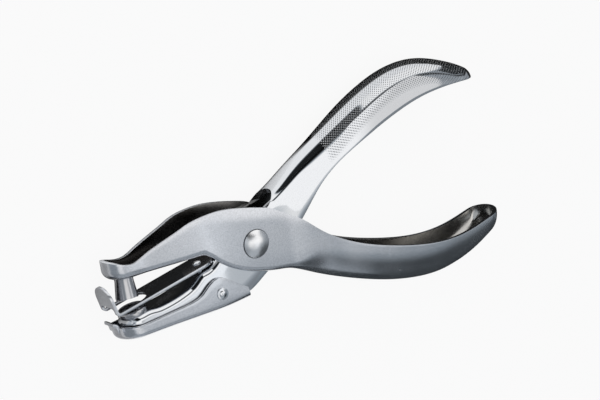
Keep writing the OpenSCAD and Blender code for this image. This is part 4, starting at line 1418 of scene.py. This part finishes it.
cloth.feed(table.node_tree.nodes["Material Output"].inputs["Surface"], mix.outputs[0])
floor.data.materials.append(table)
print("table:", 2 * TABLE_HALF, "m wide")

# %% [markdown]
# A room painted by direction looks the same from the jaws and from the grips, so it can't
# show what is close to the tool. A few cards do that, and only mirrors see them: a grey
# one that bends over the lower handle's side, a black one that lies on the table below
# it, a white one above the upper handle, a soft one above the pivot, and a small black
# one that stands beyond the upper handle's tip.

# %% Cards
COOL = (0.8, 0.91, 1, 1)
CARD_TOP = 0.1
GREY_PROFILE = [(-0.048, CARD_TOP), (-0.13, CARD_TOP), (-0.16, 0.09), (-0.175, 0.07),
                (-0.18, 0.04), (-0.18, 0.0005)]


def studio_card(name, profile, low_x, high_x, axis, tone_from, tone_to, colour=COOL,
                rise=0.0):
    """A bent card that only mirrors see. Its profile runs through (y, z) points in
    metres, is drawn out along X and may rise, and its tone goes smoothly along one axis
    between two (place, strength) pairs."""
    bm = bmesh.new()
    row = [bm.verts.new((low_x, y, z)) for y, z in profile]
    edges = [bm.edges.new(pair) for pair in zip(row, row[1:])]
    made = bmesh.ops.extrude_edge_only(bm, edges=edges)["geom"]
    bmesh.ops.translate(bm, vec=(high_x - low_x, 0, rise), verts=verts_of(made))
    card = new_object(name, bm)
    card.visible_camera = card.visible_diffuse = card.visible_shadow = False
    paper = bpy.data.materials.new(name)
    paper.use_nodes = True
    recipe = Recipe(paper.node_tree)
    (from_place, from_tone), (to_place, to_tone) = tone_from, tone_to
    shade = recipe.ramp(recipe.parts(recipe.place())[axis], from_place, to_place,
                        from_tone, to_tone)
    glow = recipe.fed(recipe.node("ShaderNodeEmission"), "Emission", Color=colour,
                      Strength=shade)
    recipe.feed(paper.node_tree.nodes["Material Output"].inputs["Surface"], glow)
    card.data.materials.append(paper)
    print(name, "from", low_x, "to", high_x, "m")


studio_card("grey_card", GREY_PROFILE, 0.057, 0.32, "Y", (-0.11, 0.06), (-0.045, 0.38))
studio_card("front_card", [(-0.18, 0.04), (-0.18, 0.0005), (-0.022, 0.0005)], 0.012, 0.32,
            "Y", (-0.03, 0.05), (-0.02, 0.02))
studio_card("white_card", [(-0.02, CARD_TOP), (0.08, CARD_TOP)], 0.036, 0.133, "X",
            (0.065, 1.08), (0.105, 0.78), (1, 0.99, 0.98, 1))
studio_card("soft_card", [(-0.042, CARD_TOP), (-0.004, CARD_TOP)], -0.03, 0.033, "X",
            (-0.02, 0.6), (0.03, 1.05), (0.96, 0.98, 1, 1))
studio_card("tip_card", [(0.024, 0.0), (0.0372, 0.0)], 0.096, 0.0961, "X", (0.09, 0.02),
            (0.1, 0.02), rise=0.0285)

# %% [markdown]
